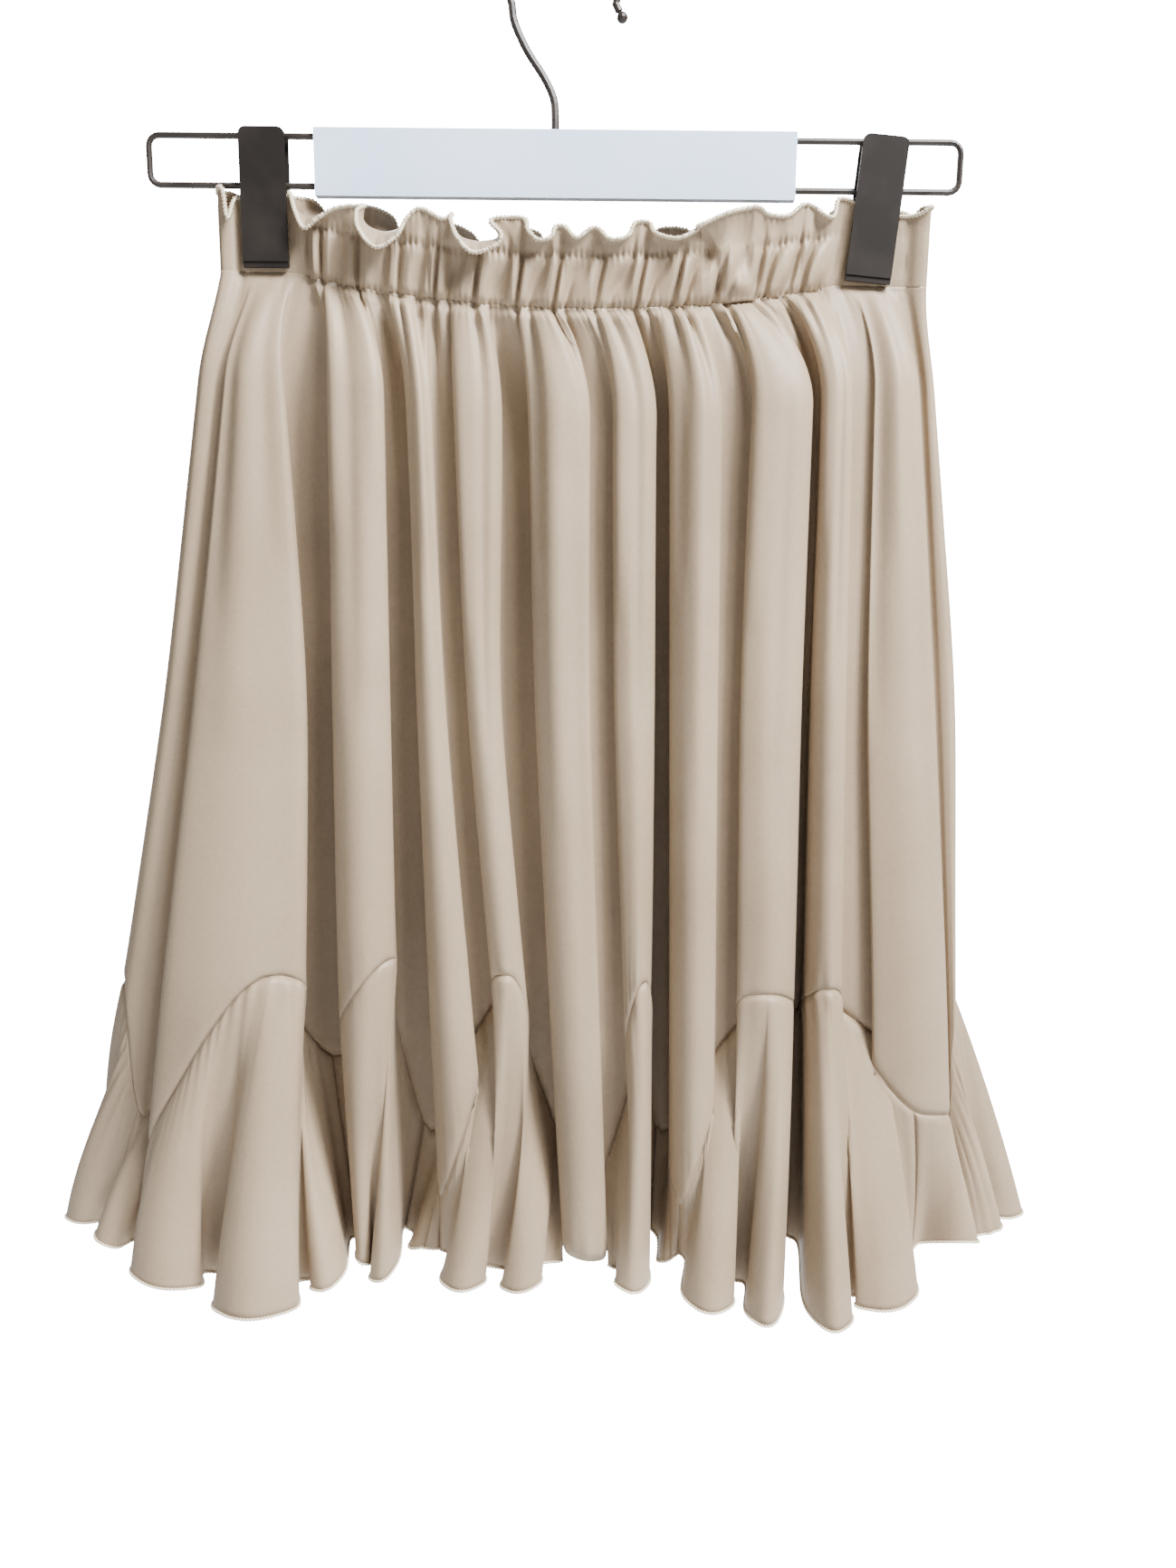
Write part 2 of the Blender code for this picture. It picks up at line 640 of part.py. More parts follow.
def add_box(name, low, high, collection):
    """A box between two corners, as a primitive scaled in its mesh."""
    bpy.ops.mesh.primitive_cube_add(size=1)
    thing = bpy.context.object
    thing.name = name
    low, high = Vector(low), Vector(high)
    for vertex in thing.data.vertices:
        vertex.co = [l + (h - l) * (c + 0.5) for l, h, c in zip(low, high, vertex.co)]
    for old in thing.users_collection:
        old.objects.unlink(thing)
    collection.objects.link(thing)
    return thing


def cut(thing, cutter, operation="DIFFERENCE"):
    """Leave a Boolean on the thing and hide its cutter."""
    boolean = thing.modifiers.new(cutter.name, "BOOLEAN")
    boolean.operation = operation
    boolean.object = cutter
    cutter.hide_render = True
    cutter.display_type = "WIRE"


def add_hook(metal):
    """The hook from its tip, over the rail and down the stem to the top wire."""
    tip_angle, shank_angle = -24, 205
    points = []
    for step in range(15):
        angle = math.radians(mix(tip_angle, shank_angle, step / 14))
        points.append(Vector((HOOK_RADIUS * math.cos(angle), 0,
                              HOOK_CENTRE_Z + HOOK_RADIUS * math.sin(angle))))
    stem_end = LOOP_TOP + WIRE + SEAM_GAP
    shank = [points[-1], Vector((-21 * MM, 0, -41 * MM)), Vector((-15.5 * MM, 0, -52 * MM)),
             Vector((-8.5 * MM, 0, -62 * MM)), Vector((-4.2 * MM, 0, -70.5 * MM)),
             Vector((STEM_X, 0, -78 * MM)), Vector((STEM_X, 0, stem_end))]
    tip = points[0] + Vector((1.6 * MM, 0, -3 * MM))
    add_wire("hanger_hook", [tip] + points[:-1] + spline_points(shank, 3), HOOK_WIRE, metal)
    ball_radius = 2.4 * MM
    heading = (tip - points[0]).normalized()
    bpy.ops.mesh.primitive_uv_sphere_add(segments=12, ring_count=8, radius=ball_radius,
                                         location=tip + heading * (ball_radius + SEAM_GAP))
    ball = bpy.context.object
    ball.name = "hanger_hook_tip"
    for old in ball.users_collection:
        old.objects.unlink(ball)
    finish_object(ball, metal)


def add_frame(metal):
    """The closed wire loop, a long rectangle with round corners."""
    inset = LOOP_CORNER
    corners = ((LOOP_RIGHT - inset, LOOP_TOP - inset, 0), (LOOP_LEFT + inset, LOOP_TOP - inset, 90),
               (LOOP_LEFT + inset, LOOP_BOTTOM + inset, 180),
               (LOOP_RIGHT - inset, LOOP_BOTTOM + inset, 270))
    points = []
    for x, z, start in corners:
        for step in range(5):
            angle = math.radians(start + 22.5 * step)
            points.append((x + inset * math.cos(angle), 0, z + inset * math.sin(angle)))
    add_wire("hanger_frame", points, WIRE, metal, closed=True)


def add_sleeve(plastic):
    """The flat blank sleeve that both wires run through, with a hole for the stem."""
    wall = 1.5 * MM
    left, right = -109 * MM, 102.5 * MM
    inner_half = WIRE + SEAM_GAP
    inner_top = LOOP_TOP + WIRE + SEAM_GAP
    inner_bottom = LOOP_BOTTOM - WIRE - 1.5 * MM
    sleeve = add_box("hanger_sleeve", (left, -inner_half - wall, inner_bottom - wall),
                     (right, inner_half + wall, inner_top + wall), parts)
    sleeve.data.materials.append(plastic)
    bore = add_box("sleeve_bore", (left - wall, -inner_half, inner_bottom),
                   (right + wall, inner_half, inner_top), cutters)
    hole = HOOK_WIRE + SEAM_GAP
    slot = add_box("stem_slot", (STEM_X - hole, -hole, inner_top - wall / 2),
                   (STEM_X + hole, hole, inner_top + 2 * wall), cutters)
    cut(sleeve, bore)
    cut(sleeve, slot)


def add_clip(name, x, top, height, lean, metal):
    """A spring clip: two plates with jaws, and a coil round the lower wire between them."""
    pivot = bpy.data.objects.new(name, None)
    pivot.location = (x, 0, LOOP_BOTTOM)
    pivot.rotation_euler = (0, math.radians(lean), 0)
    parts.objects.link(pivot)
    upper = top - LOOP_BOTTOM
    lower = upper - height
    half = PLATE_WIDTH / 2
    for side, sign in (("front", -1), ("back", 1)):
        plate = bpy.data.curves.new(f"{name}_{side}", "CURVE")
        plate.dimensions = "2D"
        plate.fill_mode = "BOTH"
        plate.extrude = PLATE_THICK / 2
        outline = rounded_plate(half, lower, upper, 3 * MM)
        spline = plate.splines.new("POLY")
        spline.points.add(len(outline) - 1)
        for target, (across, z) in zip(spline.points, outline):
            target.co = (across, z, 0, 1)
        spline.use_cyclic_u = True
        source = bpy.data.objects.new(f"{name}_{side}_outline", plate)
        cutters.objects.link(source)
        source.rotation_euler = (math.radians(90), 0, 0)
        source.location = (0, sign * (PLATE_INNER + PLATE_THICK / 2), 0)
        bpy.context.view_layer.update()
        mesh = bpy.data.meshes.new_from_object(source.evaluated_get(
            bpy.context.evaluated_depsgraph_get()))
        mesh.transform(source.matrix_world)
        bpy.data.objects.remove(source)
        weld = bmesh.new()
        weld.from_mesh(mesh)
        bmesh.ops.remove_doubles(weld, verts=weld.verts, dist=0.01 * MM)
        bmesh.ops.recalc_face_normals(weld, faces=weld.faces)
        weld.to_mesh(mesh)
        weld.free()
        thing = bpy.data.objects.new(f"{name}_{side}_plate", mesh)
        thing.parent = pivot
        parts.objects.link(thing)
        thing.data.materials.append(metal)
        faces = sorted((sign * JAW_FACE, sign * (PLATE_INNER + PLATE_THICK / 2)))
        jaw = add_box(f"{name}_{side}_jaw", (-half, faces[0], lower - 2.5 * MM),
                      (half, faces[1], lower - 2.5 * MM + JAW_HEIGHT), cutters)
        jaw.parent = pivot
        cut(thing, jaw, "UNION")
    turns, steps = 4, 8
    coil = []
    for step in range(turns * steps + 1):
        angle = 2 * math.pi * step / steps
        along = mix(-4.5 * MM, 4.5 * MM, step / (turns * steps))
        coil.append((along, SPRING_RADIUS * math.cos(angle), SPRING_RADIUS * math.sin(angle)))
    spring = add_wire(f"{name}_spring", coil, SPRING_WIRE, metal, resolution=1)
    spring.parent = pivot


def rounded_plate(half, lower, upper, radius):
    """A plate's outline with round top corners, as (across, up)."""
    outline = [(-half, lower), (half, lower)]
    for centre, start in ((half - radius, 0), (-half + radius, 90)):
        for step in range(4):
            angle = math.radians(start + 30 * step)
            outline.append((centre + radius * math.cos(angle),
                            upper - radius + radius * math.sin(angle)))
    return outline


for thing in list(bpy.data.objects):
    bpy.data.objects.remove(thing)
parts = bpy.data.collections.new("skirt_on_clip_hanger")
cutters = bpy.data.collections.new("cutters")
for collection in (parts, cutters):
    bpy.context.scene.collection.children.link(collection)

crepe = add_material("beige_crepe", (0.60, 0.50, 0.39), 0.75, 0)
dark_metal = add_material("dark_metal", (0.045, 0.036, 0.030), 0.40, 0.8)
white_sleeve = add_material("white_sleeve", (0.72, 0.78, 0.88), 0.45, 0)

# The skirt
for side in (FRONT, BACK):
    add_wall(f"{side.name}_panel", panel_grid(side), crepe)
    add_mesh(f"waistband_{side.name}", waistband_grid(side)[::-1], crepe, CLOTH)
for index, godet in enumerate(GODETS):
    add_wall(godet.name, godet_grid(index), crepe)

# The hanger
add_hook(dark_metal)
add_frame(dark_metal)
add_sleeve(white_sleeve)
add_clip("clip_left", -131.6 * MM, -84 * MM, 55.5 * MM, 0, dark_metal)
add_clip("clip_right", 139.5 * MM, -85 * MM, 58.5 * MM, 5, dark_metal)
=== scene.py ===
"""Looks of a gathered crepe skirt with godets in its hem, on a two-clip wire hanger."""
import math
from collections import namedtuple

import bpy
import numpy as np
from mathutils import Matrix, Vector

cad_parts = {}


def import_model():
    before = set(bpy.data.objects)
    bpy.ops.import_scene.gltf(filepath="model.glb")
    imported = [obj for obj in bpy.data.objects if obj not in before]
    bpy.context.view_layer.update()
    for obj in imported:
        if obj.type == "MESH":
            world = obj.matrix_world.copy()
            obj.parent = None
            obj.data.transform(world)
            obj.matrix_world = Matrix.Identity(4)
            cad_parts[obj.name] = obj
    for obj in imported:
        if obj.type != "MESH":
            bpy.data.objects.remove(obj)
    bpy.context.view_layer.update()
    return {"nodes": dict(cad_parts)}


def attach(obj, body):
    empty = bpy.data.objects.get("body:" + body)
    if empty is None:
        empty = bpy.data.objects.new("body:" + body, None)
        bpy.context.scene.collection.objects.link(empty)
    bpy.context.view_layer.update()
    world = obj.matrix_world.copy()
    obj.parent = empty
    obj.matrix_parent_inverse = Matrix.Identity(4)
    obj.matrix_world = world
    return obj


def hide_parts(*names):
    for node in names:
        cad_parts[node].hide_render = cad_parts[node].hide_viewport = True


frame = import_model()

# The room
# A white room whose floor and air glow for the camera alone. The main light comes from the upper
# right and the front, and the camera, level with the waist, looks a little down.
FOCAL_PIXELS = 1450
PICTURE_HEIGHT = 1732
CAMERA_DIP = 12
CAMERA_ROLL = 0.56
camera = bpy.data.objects.new("camera", bpy.data.cameras.new("camera"))
camera.data.sensor_width = 36
camera.data.lens = FOCAL_PIXELS * camera.data.sensor_width / PICTURE_HEIGHT
camera.data.clip_start = 0.01
looking_down = Matrix.Rotation(math.radians(90 - CAMERA_DIP), 4, "X")
camera_roll = Matrix.Rotation(math.radians(CAMERA_ROLL), 4, "Z")
camera.matrix_world = Matrix.Translation((0.0138, -0.6224, -0.2440)) @ looking_down @ camera_roll
bpy.context.scene.collection.objects.link(camera)
bpy.context.scene.camera = camera

paint = bpy.data.materials.new("pale_floor_paint")
paint.use_nodes = True
paint.node_tree.nodes["Principled BSDF"].inputs["Base Color"].default_value = (0.93, 0.93, 0.93, 1)
paint.node_tree.nodes["Principled BSDF"].inputs["Roughness"].default_value = 0.9
paint.node_tree.nodes["Principled BSDF"].inputs["Emission Color"].default_value = (1.0, 1.0, 1.0, 1)
glow = paint.node_tree.nodes.new("ShaderNodeLightPath")
evened = paint.node_tree.nodes.new("ShaderNodeMath")
evened.operation = "MULTIPLY"
evened.inputs[1].default_value = 18
paint.node_tree.links.new(glow.outputs["Is Camera Ray"], evened.inputs[0])
paint.node_tree.links.new(evened.outputs["Value"],
                          paint.node_tree.nodes["Principled BSDF"].inputs["Emission Strength"])
bpy.ops.mesh.primitive_plane_add(size=30, location=(0, 0, -1.25))
floor = bpy.context.object
floor.name = "floor"
floor.data.materials.append(paint)

room_air = bpy.context.scene.world or bpy.data.worlds.new("room_air")
bpy.context.scene.world = room_air
room_air.use_nodes = True
air = room_air.node_tree
air.nodes["Background"].inputs["Color"].default_value = (1.0, 1.0, 1.0, 1)
air.nodes["Background"].inputs["Strength"].default_value = 0.13
backdrop = air.nodes.new("ShaderNodeBackground")
backdrop.inputs["Color"].default_value = (1.0, 1.0, 1.0, 1)
backdrop.inputs["Strength"].default_value = 20
seen = air.nodes.new("ShaderNodeLightPath")
either = air.nodes.new("ShaderNodeMixShader")
air.links.new(seen.outputs["Is Camera Ray"], either.inputs["Fac"])
air.links.new(air.nodes["Background"].outputs["Background"], either.inputs[1])
air.links.new(backdrop.outputs["Background"], either.inputs[2])
air.links.new(either.outputs["Shader"], air.nodes["World Output"].inputs["Surface"])
LightPanel = namedtuple("LightPanel", "name place size power")
for lamp in (
        LightPanel("light_front_right", (1.25, -1.0, 1.05), 0.5, 128),
        LightPanel("light_above", (0.75, -0.8, 1.4), 0.7, 100),
        LightPanel("light_front_left", (-1.7, -1.6, 0.3), 1.0, 10),
        LightPanel("light_behind", (-0.9, 1.9, 1.0), 0.9, 90)):
    light = bpy.data.objects.new(lamp.name, bpy.data.lights.new(lamp.name, "AREA"))
    light.data.size = lamp.size
    light.data.energy = lamp.power
    light.location = lamp.place
    towards = Vector((0, 0, -0.3)) - light.location
    light.rotation_euler = towards.to_track_quat("-Z", "Y").to_euler()
    bpy.context.scene.collection.objects.link(light)


# The wire hanger
# A loop of steel wire, a bent hook with a ball tip, and pressed steel clips with coil springs,
# all in one dark brown-black satin coat that is rubbed a little brighter here and there.
def new_material(name, colour, roughness, metallic=0.0):
    material = bpy.data.materials.new(name)
    material.use_nodes = True
    surface = material.node_tree.nodes["Principled BSDF"]
    surface.inputs["Base Color"].default_value = (*colour, 1)
    surface.inputs["Roughness"].default_value = roughness
    surface.inputs["Metallic"].default_value = metallic
    return material, material.node_tree, surface


def add_socket(group, name, kind, way, value=None):
    socket = group.interface.new_socket(name=name, in_out=way, socket_type=kind)
    if value is not None:
        socket.default_value = value


rubbed = bpy.data.node_groups.new("rubbed_coat", "ShaderNodeTree")
add_socket(rubbed, "Scale", "NodeSocketFloat", "INPUT", 60)
add_socket(rubbed, "Coat", "NodeSocketColor", "INPUT", (0, 0, 0, 1))
add_socket(rubbed, "Rubbed", "NodeSocketColor", "INPUT", (0, 0, 0, 1))
add_socket(rubbed, "Smooth", "NodeSocketFloat", "INPUT", 0.3)
add_socket(rubbed, "Rough", "NodeSocketFloat", "INPUT", 0.5)
add_socket(rubbed, "Color", "NodeSocketColor", "OUTPUT")
add_socket(rubbed, "Roughness", "NodeSocketFloat", "OUTPUT")
add_socket(rubbed, "Grain", "NodeSocketFloat", "OUTPUT")
group_in = rubbed.nodes.new("NodeGroupInput")
group_out = rubbed.nodes.new("NodeGroupOutput")
place = rubbed.nodes.new("ShaderNodeTexCoord")
patches = rubbed.nodes.new("ShaderNodeTexNoise")
patches.inputs["Detail"].default_value = 5
rubbed.links.new(place.outputs["Object"], patches.inputs["Vector"])
rubbed.links.new(group_in.outputs["Scale"], patches.inputs["Scale"])
edge = rubbed.nodes.new("ShaderNodeMapRange")
edge.inputs["From Min"].default_value = 0.42
edge.inputs["From Max"].default_value = 0.72
rubbed.links.new(patches.outputs["Fac"], edge.inputs["Value"])
colours = rubbed.nodes.new("ShaderNodeMix")
colours.data_type = "RGBA"
rubbed.links.new(edge.outputs["Result"], colours.inputs["Factor"])
rubbed.links.new(group_in.outputs["Coat"], colours.inputs["A"])
rubbed.links.new(group_in.outputs["Rubbed"], colours.inputs["B"])
rubbed.links.new(colours.outputs["Result"], group_out.inputs["Color"])
gloss = rubbed.nodes.new("ShaderNodeMix")
rubbed.links.new(patches.outputs["Fac"], gloss.inputs["Factor"])
rubbed.links.new(group_in.outputs["Smooth"], gloss.inputs["A"])
rubbed.links.new(group_in.outputs["Rough"], gloss.inputs["B"])
rubbed.links.new(gloss.outputs["Result"], group_out.inputs["Roughness"])
specks = rubbed.nodes.new("ShaderNodeTexNoise")
specks.inputs["Scale"].default_value = 2600
rubbed.links.new(place.outputs["Object"], specks.inputs["Vector"])
rubbed.links.new(specks.outputs["Fac"], group_out.inputs["Grain"])


def coat_with(tree, surface, scale, coat, worn, smooth, rough, grain):
    """Places the rubbed coat in a material with its own values."""
    node = tree.nodes.new("ShaderNodeGroup")
    node.node_tree = rubbed
    node.inputs["Scale"].default_value = scale
    node.inputs["Coat"].default_value = (*coat, 1)
    node.inputs["Rubbed"].default_value = (*worn, 1)
    node.inputs["Smooth"].default_value = smooth
    node.inputs["Rough"].default_value = rough
    bump = tree.nodes.new("ShaderNodeBump")
    bump.inputs["Strength"].default_value = 0.25
    bump.inputs["Distance"].default_value = grain
    tree.links.new(node.outputs["Color"], surface.inputs["Base Color"])
    tree.links.new(node.outputs["Roughness"], surface.inputs["Roughness"])
    tree.links.new(node.outputs["Grain"], bump.inputs["Height"])
    tree.links.new(bump.outputs["Normal"], surface.inputs["Normal"])


dark_coat, tree, surface = new_material("dark_satin_coat", (0.02, 0.016, 0.013), 0.4)
surface.inputs["Specular IOR Level"].default_value = 0.4
coat_with(tree, surface, 55, (0.014, 0.010, 0.008), (0.034, 0.026, 0.021), 0.32, 0.50, 0.00003)
clip_coat, tree, surface = new_material("dark_clip_coat", (0.03, 0.025, 0.021), 0.5)
surface.inputs["Specular IOR Level"].default_value = 0.18
coat_with(tree, surface, 40, (0.010, 0.008, 0.007), (0.019, 0.015, 0.013), 0.46, 0.60, 0.00005)
for node, thing in frame["nodes"].items():
    if node.startswith(("hanger_frame", "hanger_hook")) or node.endswith("_spring"):
        material = dark_coat
    elif node.startswith("clip_"):
        material = clip_coat
    else:
        continue
    for slot in thing.material_slots:
        slot.material = material

# The blank sleeve
# A folded strip of smooth white plastic pushed over both wires, with a faint bluish cast and
# soft dents where it has been handled. It carries no print.
sleeve_plastic, tree, surface = new_material("white_sleeve_plastic", (0.80, 0.85, 0.93), 0.42)
coat_with(tree, surface, 14, (0.60, 0.74, 0.98), (0.68, 0.81, 1.0), 0.34, 0.50, 0.00006)
for slot in frame["nodes"]["hanger_sleeve"].material_slots:
    slot.material = sleeve_plastic

# The crepe
# Thin beige crepe with a fine pebbled face, a soft sheen at grazing angles and slightly uneven
# tone. The hollows of the pebbled face are painted darker, as painted shade. The same cloth makes
# the body, the waistband and the godets.
pebbled = bpy.data.node_groups.new("pebbled_cloth", "ShaderNodeTree")
add_socket(pebbled, "Yarn Scale", "NodeSocketFloat", "INPUT", 1500)
add_socket(pebbled, "Deep", "NodeSocketColor", "INPUT", (0, 0, 0, 1))
add_socket(pebbled, "Raised", "NodeSocketColor", "INPUT", (1, 1, 1, 1))
add_socket(pebbled, "Color", "NodeSocketColor", "OUTPUT")
add_socket(pebbled, "Height", "NodeSocketFloat", "OUTPUT")
group_in = pebbled.nodes.new("NodeGroupInput")
group_out = pebbled.nodes.new("NodeGroupOutput")
place = pebbled.nodes.new("ShaderNodeTexCoord")
yarns = pebbled.nodes.new("ShaderNodeTexVoronoi")
yarns.feature = "SMOOTH_F1"
pebbled.links.new(place.outputs["Object"], yarns.inputs["Vector"])
pebbled.links.new(group_in.outputs["Yarn Scale"], yarns.inputs["Scale"])
tone = pebbled.nodes.new("ShaderNodeTexNoise")
tone.inputs["Scale"].default_value = 9
tone.inputs["Detail"].default_value = 6
pebbled.links.new(place.outputs["Object"], tone.inputs["Vector"])
slub = pebbled.nodes.new("ShaderNodeTexNoise")
slub.inputs["Scale"].default_value = 420
slub.inputs["Detail"].default_value = 3
pebbled.links.new(place.outputs["Object"], slub.inputs["Vector"])
depth = pebbled.nodes.new("ShaderNodeMath")
depth.operation = "MULTIPLY_ADD"
depth.inputs[1].default_value = -0.8
pebbled.links.new(yarns.outputs["Distance"], depth.inputs[0])
pebbled.links.new(slub.outputs["Fac"], depth.inputs[2])
pebbled.links.new(depth.outputs["Value"], group_out.inputs["Height"])
# Colour mix factor: the lower the pebbled face, the darker its colour, which is painted shade in its
# hollows; the slow tone noise adds random uneven tone.
hollow_shade_and_tone = pebbled.nodes.new("ShaderNodeMath")
hollow_shade_and_tone.operation = "MULTIPLY_ADD"
hollow_shade_and_tone.inputs[1].default_value = 0.45
pebbled.links.new(depth.outputs["Value"], hollow_shade_and_tone.inputs[0])
spread = pebbled.nodes.new("ShaderNodeMapRange")
spread.inputs["From Min"].default_value = 0.35
spread.inputs["From Max"].default_value = 0.65
spread.inputs["To Max"].default_value = 0.6
pebbled.links.new(tone.outputs["Fac"], spread.inputs["Value"])
pebbled.links.new(spread.outputs["Result"], hollow_shade_and_tone.inputs[2])
colours = pebbled.nodes.new("ShaderNodeMix")
colours.data_type = "RGBA"
pebbled.links.new(hollow_shade_and_tone.outputs["Value"], colours.inputs["Factor"])
pebbled.links.new(group_in.outputs["Deep"], colours.inputs["A"])
pebbled.links.new(group_in.outputs["Raised"], colours.inputs["B"])
pebbled.links.new(colours.outputs["Result"], group_out.inputs["Color"])


def cloth_material(name, hollow_shade_and_dark_tone, raised, scale, sheen):
    material, tree, surface = new_material(name, raised, 0.52)
    surface.inputs["Sheen Weight"].default_value = sheen
    surface.inputs["Sheen Roughness"].default_value = 0.45
    surface.inputs["Specular IOR Level"].default_value = 0.38
    node = tree.nodes.new("ShaderNodeGroup")
    node.node_tree = pebbled
    node.inputs["Yarn Scale"].default_value = scale
    # The darker colour goes to the pebbles' hollows as painted shade, and to random darker tone.
    node.inputs["Deep"].default_value = (*hollow_shade_and_dark_tone, 1)
    node.inputs["Raised"].default_value = (*raised, 1)
    bump = tree.nodes.new("ShaderNodeBump")
    bump.inputs["Strength"].default_value = 0.35
    bump.inputs["Distance"].default_value = 0.00015
    tree.links.new(node.outputs["Color"], surface.inputs["Base Color"])
    tree.links.new(node.outputs["Height"], bump.inputs["Height"])
    tree.links.new(bump.outputs["Normal"], surface.inputs["Normal"])
    return material


# Crepe and thread both get painted shade in the hollows of their pebbled face.
crepe = cloth_material("beige_crepe_cloth", (0.255, 0.19, 0.125), (0.355, 0.27, 0.182), 1500, 0.05)
thread = cloth_material("cream_overlock_thread", (0.50, 0.42, 0.30), (0.74, 0.65, 0.50), 2600, 0.05)

# The body of the skirt
# Front and back panels of crepe, gathered into the waist and hanging in long soft folds. They
# are sewn at the sides, and their lower edge is cut in arches that the godets are sewn into.
# The tables are in millimetres, as seen from outside each panel.
MM = 0.001
Fold = namedtuple("Fold", "name left right crown valley")
Edge = namedtuple("Edge", "column z")
Side = namedtuple("Side", "name turn waist ends folds first_valley edge bow sag")
LEVELS = (-190, -330, -460)
FRONT_FOLDS = (
    Fold("A", (-150, -168, -187), (-124, -117, -120), (17, 40), (12, 17)),
    Fold("B", (-103, -104, -104), (-78, -77, -76), (25, 46), (16, 22)),
    Fold("C", (-69, -65, -61), (-57, -51, -41), (27, 47), (23, 36)),
    Fold("D", (-47, -42, -31), (-25, -27, -15), (28, 47), (16, 34)),
    Fold("E", (-14, -11, -4), (13, 14, 19.5), (31, 52), (25, 42)),
    Fold("F", (23, 25, 31), (42, 44, 45), (29, 48), (15, 16)),
    Fold("G", (48, 50.5, 53), (71, 72, 74), (30, 50), (24, 42)),
    Fold("G2", (84, 82, 84), (111.5, 111, 112.5), (29, 50), (13, 14)),
    Fold("H", (116, 115.5, 117.5), (129, 131, 134), (24, 45), (19, 34)),
    Fold("I", (139, 141, 149), (160, 174, 186), (18, 36), (9, 16)),
)
BACK_FOLDS = (
    Fold("K", (-158, -172, -184), (-126, -128, -132), (16, 36), (13, 15)),
    Fold("L", (-118, -119, -121), (-92, -90, -88), (22, 42), (15, 18)),
    Fold("M", (-82, -79, -76), (-54, -50, -44), (25, 46), (20, 32)),
    Fold("N", (-44, -40, -34), (-18, -14, -8), (26, 48), (14, 16)),
    Fold("O", (-8, -5, 0), (20, 22, 28), (27, 50), (20, 36)),
    Fold("P", (32, 34, 38), (60, 62, 66), (26, 47), (20, 34)),
    Fold("Q", (70, 71, 74), (98, 100, 106), (23, 44), (14, 16)),
    Fold("R", (108, 112, 120), (146, 158, 178), (17, 38), (9, 19)),
)
FRONT_EDGE = (
    Edge(0, -481), Edge(1, -474), Edge(3, -552), Edge(4, -543), Edge(6, -560), Edge(9, -462),
    Edge(12, -521), Edge(18, -453), Edge(20, -562), Edge(21, -546), Edge(22, -584),
    Edge(32, -458), Edge(38, -600), Edge(42, -603), Edge(49, -461), Edge(52, -560),
    Edge(53, -550), Edge(55, -580), Edge(64, -465), Edge(68, -496), Edge(72, -464),
    Edge(80, -531), Edge(82, -535), Edge(84, -574), Edge(88, -479),
)
BACK_EDGE = (
    Edge(0, -479), Edge(4, -556), Edge(9, -468), Edge(12, -540), Edge(17, -460),
    Edge(20, -566), Edge(21, -548), Edge(22, -582), Edge(31, -458), Edge(36, -560),
    Edge(41, -462), Edge(44, -572), Edge(54, -464),
    Edge(60, -556), Edge(64, -470), Edge(68, -556), Edge(72, -481),
)
FRONT = Side("front", 1, (-152.5, 163), ((-164, -186, -212), (169, 188, 196)), FRONT_FOLDS,
             (9, 14), FRONT_EDGE, 24, 15.5)
BACK = Side("back", -1, (-163, 152.5), ((-169, -188, -196), (164, 186, 212)), BACK_FOLDS,
            (9, 19), BACK_EDGE, 18, 12)
SIDES = {"front": FRONT, "back": BACK}
NECK = 3
TUCK = 0.12
NECK_RISE = 0.08
SIDE_RISE = 0.62
SHOULDER = 0.22
SHOULDER_RISE = 0.9
VALLEY_SINK = 6
SHALLOWEST = 3
GATHER_DROP = 46
PINCH = 0.75
BOW_LEFT = -118
BOW_RIGHT = 121
END_LOOP = ((0, 0.15), (0, 1.8), (2, 3.4), (5.5, 2.9))
FLAT_START = 9.1
ARCH_POWER = 1.45
ARCH_CROWN = 0.1
FINE = 4
LEVEL_STEP = 5
HIGHEST = -100
LOWEST = -650
LEVEL_SOFTNESS = 5
EDGE_SOFTNESS = 1.5
SEAM_LEFT_Z = -144.0
SEAM_RIGHT_Z = -148.0


def ramp(value):
    """0 up to 1 with soft ends."""
    value = np.clip(value, 0, 1)
    return value * value * (3 - 2 * value)


def mix(a, b, share):
    return a + (b - a) * share


def at_level(values, z):
    top, middle, low = LEVELS
    if z >= middle:
        return mix(values[1], values[0], (z - middle) / (top - middle))
    return mix(values[2], values[1], (z - low) / (middle - low))


def depth_at(values, z):
    share = min((LEVELS[0] - z) / (LEVELS[0] - LEVELS[2]), 1)
    return mix(values[0], values[1], share)


def fold_points(start, left, right, crown, end):
    """Seven points over one fold, its foot tucked in under its sides as a hanging fold's is."""
    shoulder = (right - left) * SHOULDER
    return [
        (left + TUCK * (right - left), mix(start[1], crown, NECK_RISE)),
        (left, mix(start[1], crown, SIDE_RISE)),
        (left + shoulder, mix(start[1], crown, SHOULDER_RISE)),
        ((left + right) / 2, crown),
        (right - shoulder, mix(end[1], crown, SHOULDER_RISE)),
        (right, mix(end[1], crown, SIDE_RISE)),
        (right - TUCK * (right - left), mix(end[1], crown, NECK_RISE)),
    ]


def side_points(end, valley):
    bulge = valley[1] + 2
    return [(end, 0.15), (end, 0.5 * bulge), (mix(end, valley[0], 0.3), bulge),
            (mix(end, valley[0], 0.7), bulge)]


